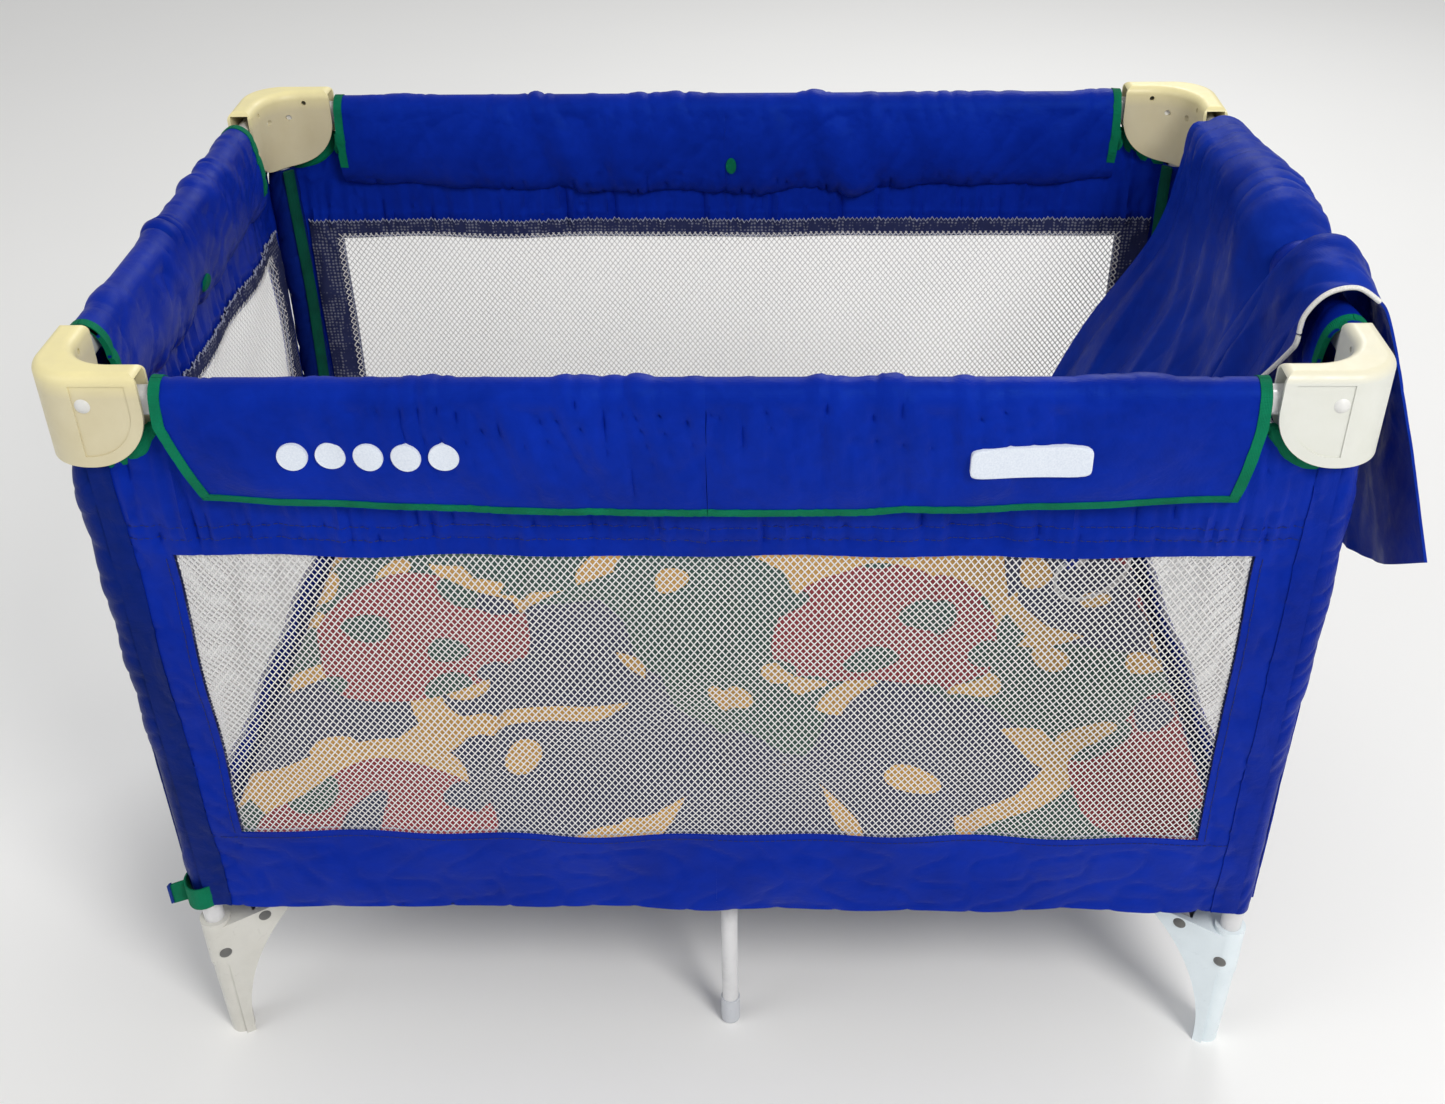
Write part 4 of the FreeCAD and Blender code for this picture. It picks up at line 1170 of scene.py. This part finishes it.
def bag_piece():
    """The bag's cloth with its folds, and the grid of its surface."""
    grid = bag_grid()
    rows, columns = grid.shape[:2]
    u = np.linspace(0, 1, rows)[:, None]
    v = np.linspace(0, 1, columns)[None, :]
    y = grid[..., 1]
    from_crown = np.abs(v - 0.56) / 0.56
    lift = bag_lift(u, v)
    lift = lift + waves(501, u + 0.25 * v, v, 0.34, 1.4, 5) * 0.0030 * smooth_step(from_crown, 0.15, 0.9)
    lift = lift - creases(502, u + 0.30 * v, v, 0.22, 0.8, 5) * 0.0024 * (0.3 + 0.7 * from_crown)
    lift = lift + waves(503, y, v, 0.05, 0.35, 6) * 0.0004
    pinch = np.exp(-((v - 0.57) / 0.10) ** 2)
    lift = lift - creases(504, u - 0.5 * v, v, 0.16, 0.35, 6) * 0.0026 * pinch
    lift = np.maximum(lift, -0.003) * smooth_step(u, -0.02, 0.06)
    grid = grid - grid_normals(grid) * lift[..., None] * bag_side(grid)
    points, faces = shell(grid, BAG_CLOTH)
    piece = new_object("storage_bag", points, faces, M_BAG)
    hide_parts("carry_bag")
    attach(piece, "bag")
    return piece, grid


def bag_side(grid):
    """Sign that turns the sheet's normals away from the rail."""
    rail = np.array([SIDE["right"].rail_o, 0.0, 0.62])
    away = (grid - rail) * np.array([1.0, 0.0, 1.0])
    return -np.sign((grid_normals(grid) * away).sum())


# ---------------- details

def hem_cord(grid):
    """White cord sewn along the mouth of the bag, over the rail and down the inner front edge."""
    turn = int(0.40 * grid.shape[0])
    start = int(np.argmax(grid[0, :, 0] > SIDE["right"].rail_o + 0.024))
    path = np.concatenate([grid[0, start::-9], grid[2:turn:6, 0]])
    builder = Builder()
    builder.add(*tube_along(spline(path, 220), 0.0021, 8))
    piece = builder.piece("bag_hem_cord", M_CORD)
    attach(piece, "bag")
    return piece


def drawstring_piece():
    """Loop of white cord hanging out of the hem."""
    route = [
        (0.3530, -0.0100, 0.3810), (0.3530, -0.0100, 0.3680), (0.3380, -0.0130, 0.3570),
        (0.3360, -0.0200, 0.3400), (0.3500, -0.0280, 0.3310), (0.3680, -0.0360, 0.3400),
        (0.3880, -0.0460, 0.3610), (0.3990, -0.0560, 0.3890), (0.3950, -0.0610, 0.4190),
        (0.3804, -0.0626, 0.4382),
    ]
    curve = bpy.data.curves.new("drawstring_loop", "CURVE")
    curve.dimensions = "3D"
    line = curve.splines.new("NURBS")
    line.points.add(len(route) - 1)
    for point, place in zip(line.points, route):
        point.co = (*place, 1.0)
    line.order_u = 3
    line.use_endpoint_u = True
    line.resolution_u = 12
    curve.bevel_depth = 0.002
    curve.bevel_resolution = 3
    curve.use_fill_caps = True
    curve.materials.append(M_CORD)
    piece = bpy.data.objects.new("drawstring_loop", curve)
    bpy.context.scene.collection.objects.link(piece)
    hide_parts("bag_drawstring")
    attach(piece, "bag")
    return piece


def webbing_tab_piece():
    """Green webbing wrapped round the foot of the front left sleeve, with a blue end."""
    low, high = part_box("webbing_tab")
    post = (-POST.x, -POST.y)
    angles = np.linspace(0, 2 * np.pi, 64, endpoint=False)[:, None]
    z = np.linspace(low.z, high.z, 8)[None, :]
    radius = SLEEVE_RADIUS + 0.0022 + 0.0006 * np.sin(angles * 3)
    tilt = 0.004 * np.cos(angles)
    grid = np.stack([post[0] + radius * np.cos(angles) + 0 * z, post[1] + radius * np.sin(angles) + 0 * z,
                     z + tilt], axis=-1)
    builder = Builder()
    builder.add(*shell(grid, FABRIC, closed_rows=True))
    x0 = -POST.x - SLEEVE_RADIUS - 0.001
    x = np.linspace(x0, low.x + 0.006, 12)[:, None]
    droop = -0.010 * ((x - x0) / (low.x - x0)) ** 2
    tail = np.stack([x + 0 * z, post[1] - 0.001 + 0.002 * np.sin((x - x0) * 160) + 0 * z,
                     z * 0.92 + low.z * 0.08 + droop - 0.004], axis=-1)
    builder.add(*shell(tail, TAIL_CLOTH))
    piece = builder.piece("webbing_strap", M_GREEN)
    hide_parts("webbing_tab")
    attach(piece, "corner_front_left")
    points, faces = shell(tail[-3:] + np.array([-0.0022, 0, 0]), TAIL_CLOTH + FABRIC)
    tip = new_object("webbing_strap_end", points, faces, M_BLUE_TAB)
    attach(tip, "corner_front_left")
    return piece


def on_cover(side, grid, a, z, outer=True):
    """Outward place of the cover's surface at a point along and up."""
    along = grid[..., side.axis]
    across = side.sign * grid[..., 1 - side.axis]
    rows = (across.mean(axis=1) > side.rail_o + 0.002) == outer
    places = []
    for one_a, one_z in zip(np.ravel(a), np.ravel(z)):
        column = int(np.argmin(np.abs(along[0] - one_a)))
        order = np.argsort(grid[rows, column, 2])
        places.append(np.interp(one_z, grid[rows, column, 2][order], across[rows, column][order]))
    return np.array(places).reshape(np.shape(a))


def badge(name, side, half, grid, middle, half_size, power, material, outer=True):
    """A plain patch sewn on a cover: smooth, and lying on the crests of the cover's small folds."""
    t = np.linspace(0, 2 * np.pi, 65)
    round_off = 1 / (np.abs(np.cos(t)) ** power + np.abs(np.sin(t)) ** power) ** (1 / power)
    scale = np.append(np.linspace(0, 0.9, 10), [0.97, 1.0, 1.0])[:, None]
    height = np.append(np.full(11, 0.0014), [0.0006, -0.0045])[:, None]
    along, up = scale * np.cos(t) * round_off, scale * np.sin(t) * round_off
    a, z = middle[0] + half_size[0] * along, middle[1] + half_size[1] * up
    way = 1 if outer else -1
    cloth = way * on_cover(side, grid, a, z, outer)
    terms = np.stack([np.ones_like(along), along, up, along ** 2, along * up, up ** 2], axis=-1)
    terms = terms.reshape(-1, 6)
    even = (terms @ np.linalg.lstsq(terms, cloth.ravel(), rcond=None)[0]).reshape(cloth.shape)
    surface = way * (even + (cloth - even).max() + QUILT / 2 + height)
    piece = new_object(name, side.place(a, surface, z), grid_faces(len(scale), len(t)), material)
    cover_rides(piece, side, half)
    return piece


def cover_badges(side, half, grid):
    """Plain marks: five discs and a blank patch in front, a dot inside the rear and left covers."""
    if side.name == "front" and half == 0:
        for k in range(5):
            middle = (-0.309 + 0.0285 * k, 0.6835)
            badge(f"flap_dot_{k}", side, half, grid, middle, (0.0115, 0.0115), 2, M_PATCH)
    if side.name == "front" and half == 1:
        badge("flap_patch", side, half, grid, (0.240, 0.680), (0.0450, 0.0130), 7, M_PATCH)
    if side.name in ("rear", "left") and half == 1:
        badge(f"cover_dot_{side.name}", side, half, grid, (0.006, 0.668), (0.0055, 0.0090), 2, M_GREEN,
              outer=False)


# ---------------- stage, lights and camera

def make_stage():
    """A wide pale floor under the playpen."""
    bpy.ops.mesh.primitive_plane_add(size=30, location=(0, 0, 0))
    floor = bpy.context.object
    floor.name = "floor"
    look = Look("floor_pale")
    cloud = look.noise(0.8)
    look.paint(cloud, (0.3, (0.90, 0.90, 0.89)), (0.7, (0.92, 0.92, 0.91)))
    look.set("Roughness", 0.9)
    floor.data.materials.append(look.material)


def area_light(name, place, target, size, energy, colour=(1, 1, 1)):
    light = bpy.data.lights.new(name, "AREA")
    light.shape = "DISK"
    light.size = size
    light.energy = energy
    light.color = colour
    lamp = bpy.data.objects.new(name, light)
    lamp.location = place
    lamp.rotation_euler = (Vector(target) - Vector(place)).to_track_quat("-Z", "Y").to_euler()
    bpy.context.scene.collection.objects.link(lamp)


def make_lights():
    """Bright even surroundings with a warm key light from the front right."""
    bpy.context.scene.view_settings.view_transform = "Standard"
    world = bpy.data.worlds.new("studio")
    world.use_nodes = True
    world.node_tree.nodes["Background"].inputs["Color"].default_value = (1.0, 1.0, 1.0, 1.0)
    world.node_tree.nodes["Background"].inputs["Strength"].default_value = 0.52
    bpy.context.scene.world = world
    area_light("key", (1.5, -2.3, 2.9), (0, 0, 0.4), 1.2, 68, (1.0, 0.98, 0.95))
    area_light("fill", (-2.4, -1.6, 2.2), (0, 0, 0.4), 2.0, 14)
    area_light("back", (0.9, 2.6, 2.6), (0, 0, 0.5), 1.6, 34)


def make_camera():
    """Camera in front of the playpen and above it, a little to the right and turned slightly left."""
    yaw, pitch, roll = -0.0337, 0.6005, -0.0169
    forward = Vector((math.sin(yaw) * math.cos(pitch), math.cos(yaw) * math.cos(pitch), -math.sin(pitch)))
    right = Vector((math.cos(yaw), -math.sin(yaw), 0))
    up = right.cross(forward)
    right, up = (right * math.cos(roll) + up * math.sin(roll), up * math.cos(roll) - right * math.sin(roll))
    data = bpy.data.cameras.new("camera")
    data.sensor_width = 36
    data.lens = 40.22
    camera = bpy.data.objects.new("camera", data)
    matrix = Matrix((right, up, -forward)).transposed().to_4x4()
    matrix.translation = (0.0456, -1.3575, 1.3009)
    camera.matrix_world = matrix
    bpy.context.scene.collection.objects.link(camera)
    bpy.context.scene.camera = camera


# ---------------- making

make_camera()
make_stage()
make_lights()
dress_cad()
drawstring_piece()
for side in SIDES:
    for half in (0, 1):
        panel_half_piece(side, half)
        net_piece(side, half)
        net_tape(side, half)
        overlock_piece(side, half)
        cover, cover_grid, cover_outline = rail_cover_piece(side, half)
        flap_binding(side, half, cover_grid, cover_outline)
        cover_badges(side, half, cover_grid)
        gusset_binding(side, half)
        panel_stitches(side, half)
        sleeve_wing(side, half)
for end, side_name in CORNERS:
    sleeve_piece(end, side_name)
    corner_binding(end, side_name)
    floor_quarter(end, side_name)
mattress_piece()
bag, bag_surface = bag_piece()
hem_cord(bag_surface)
webbing_tab_piece()
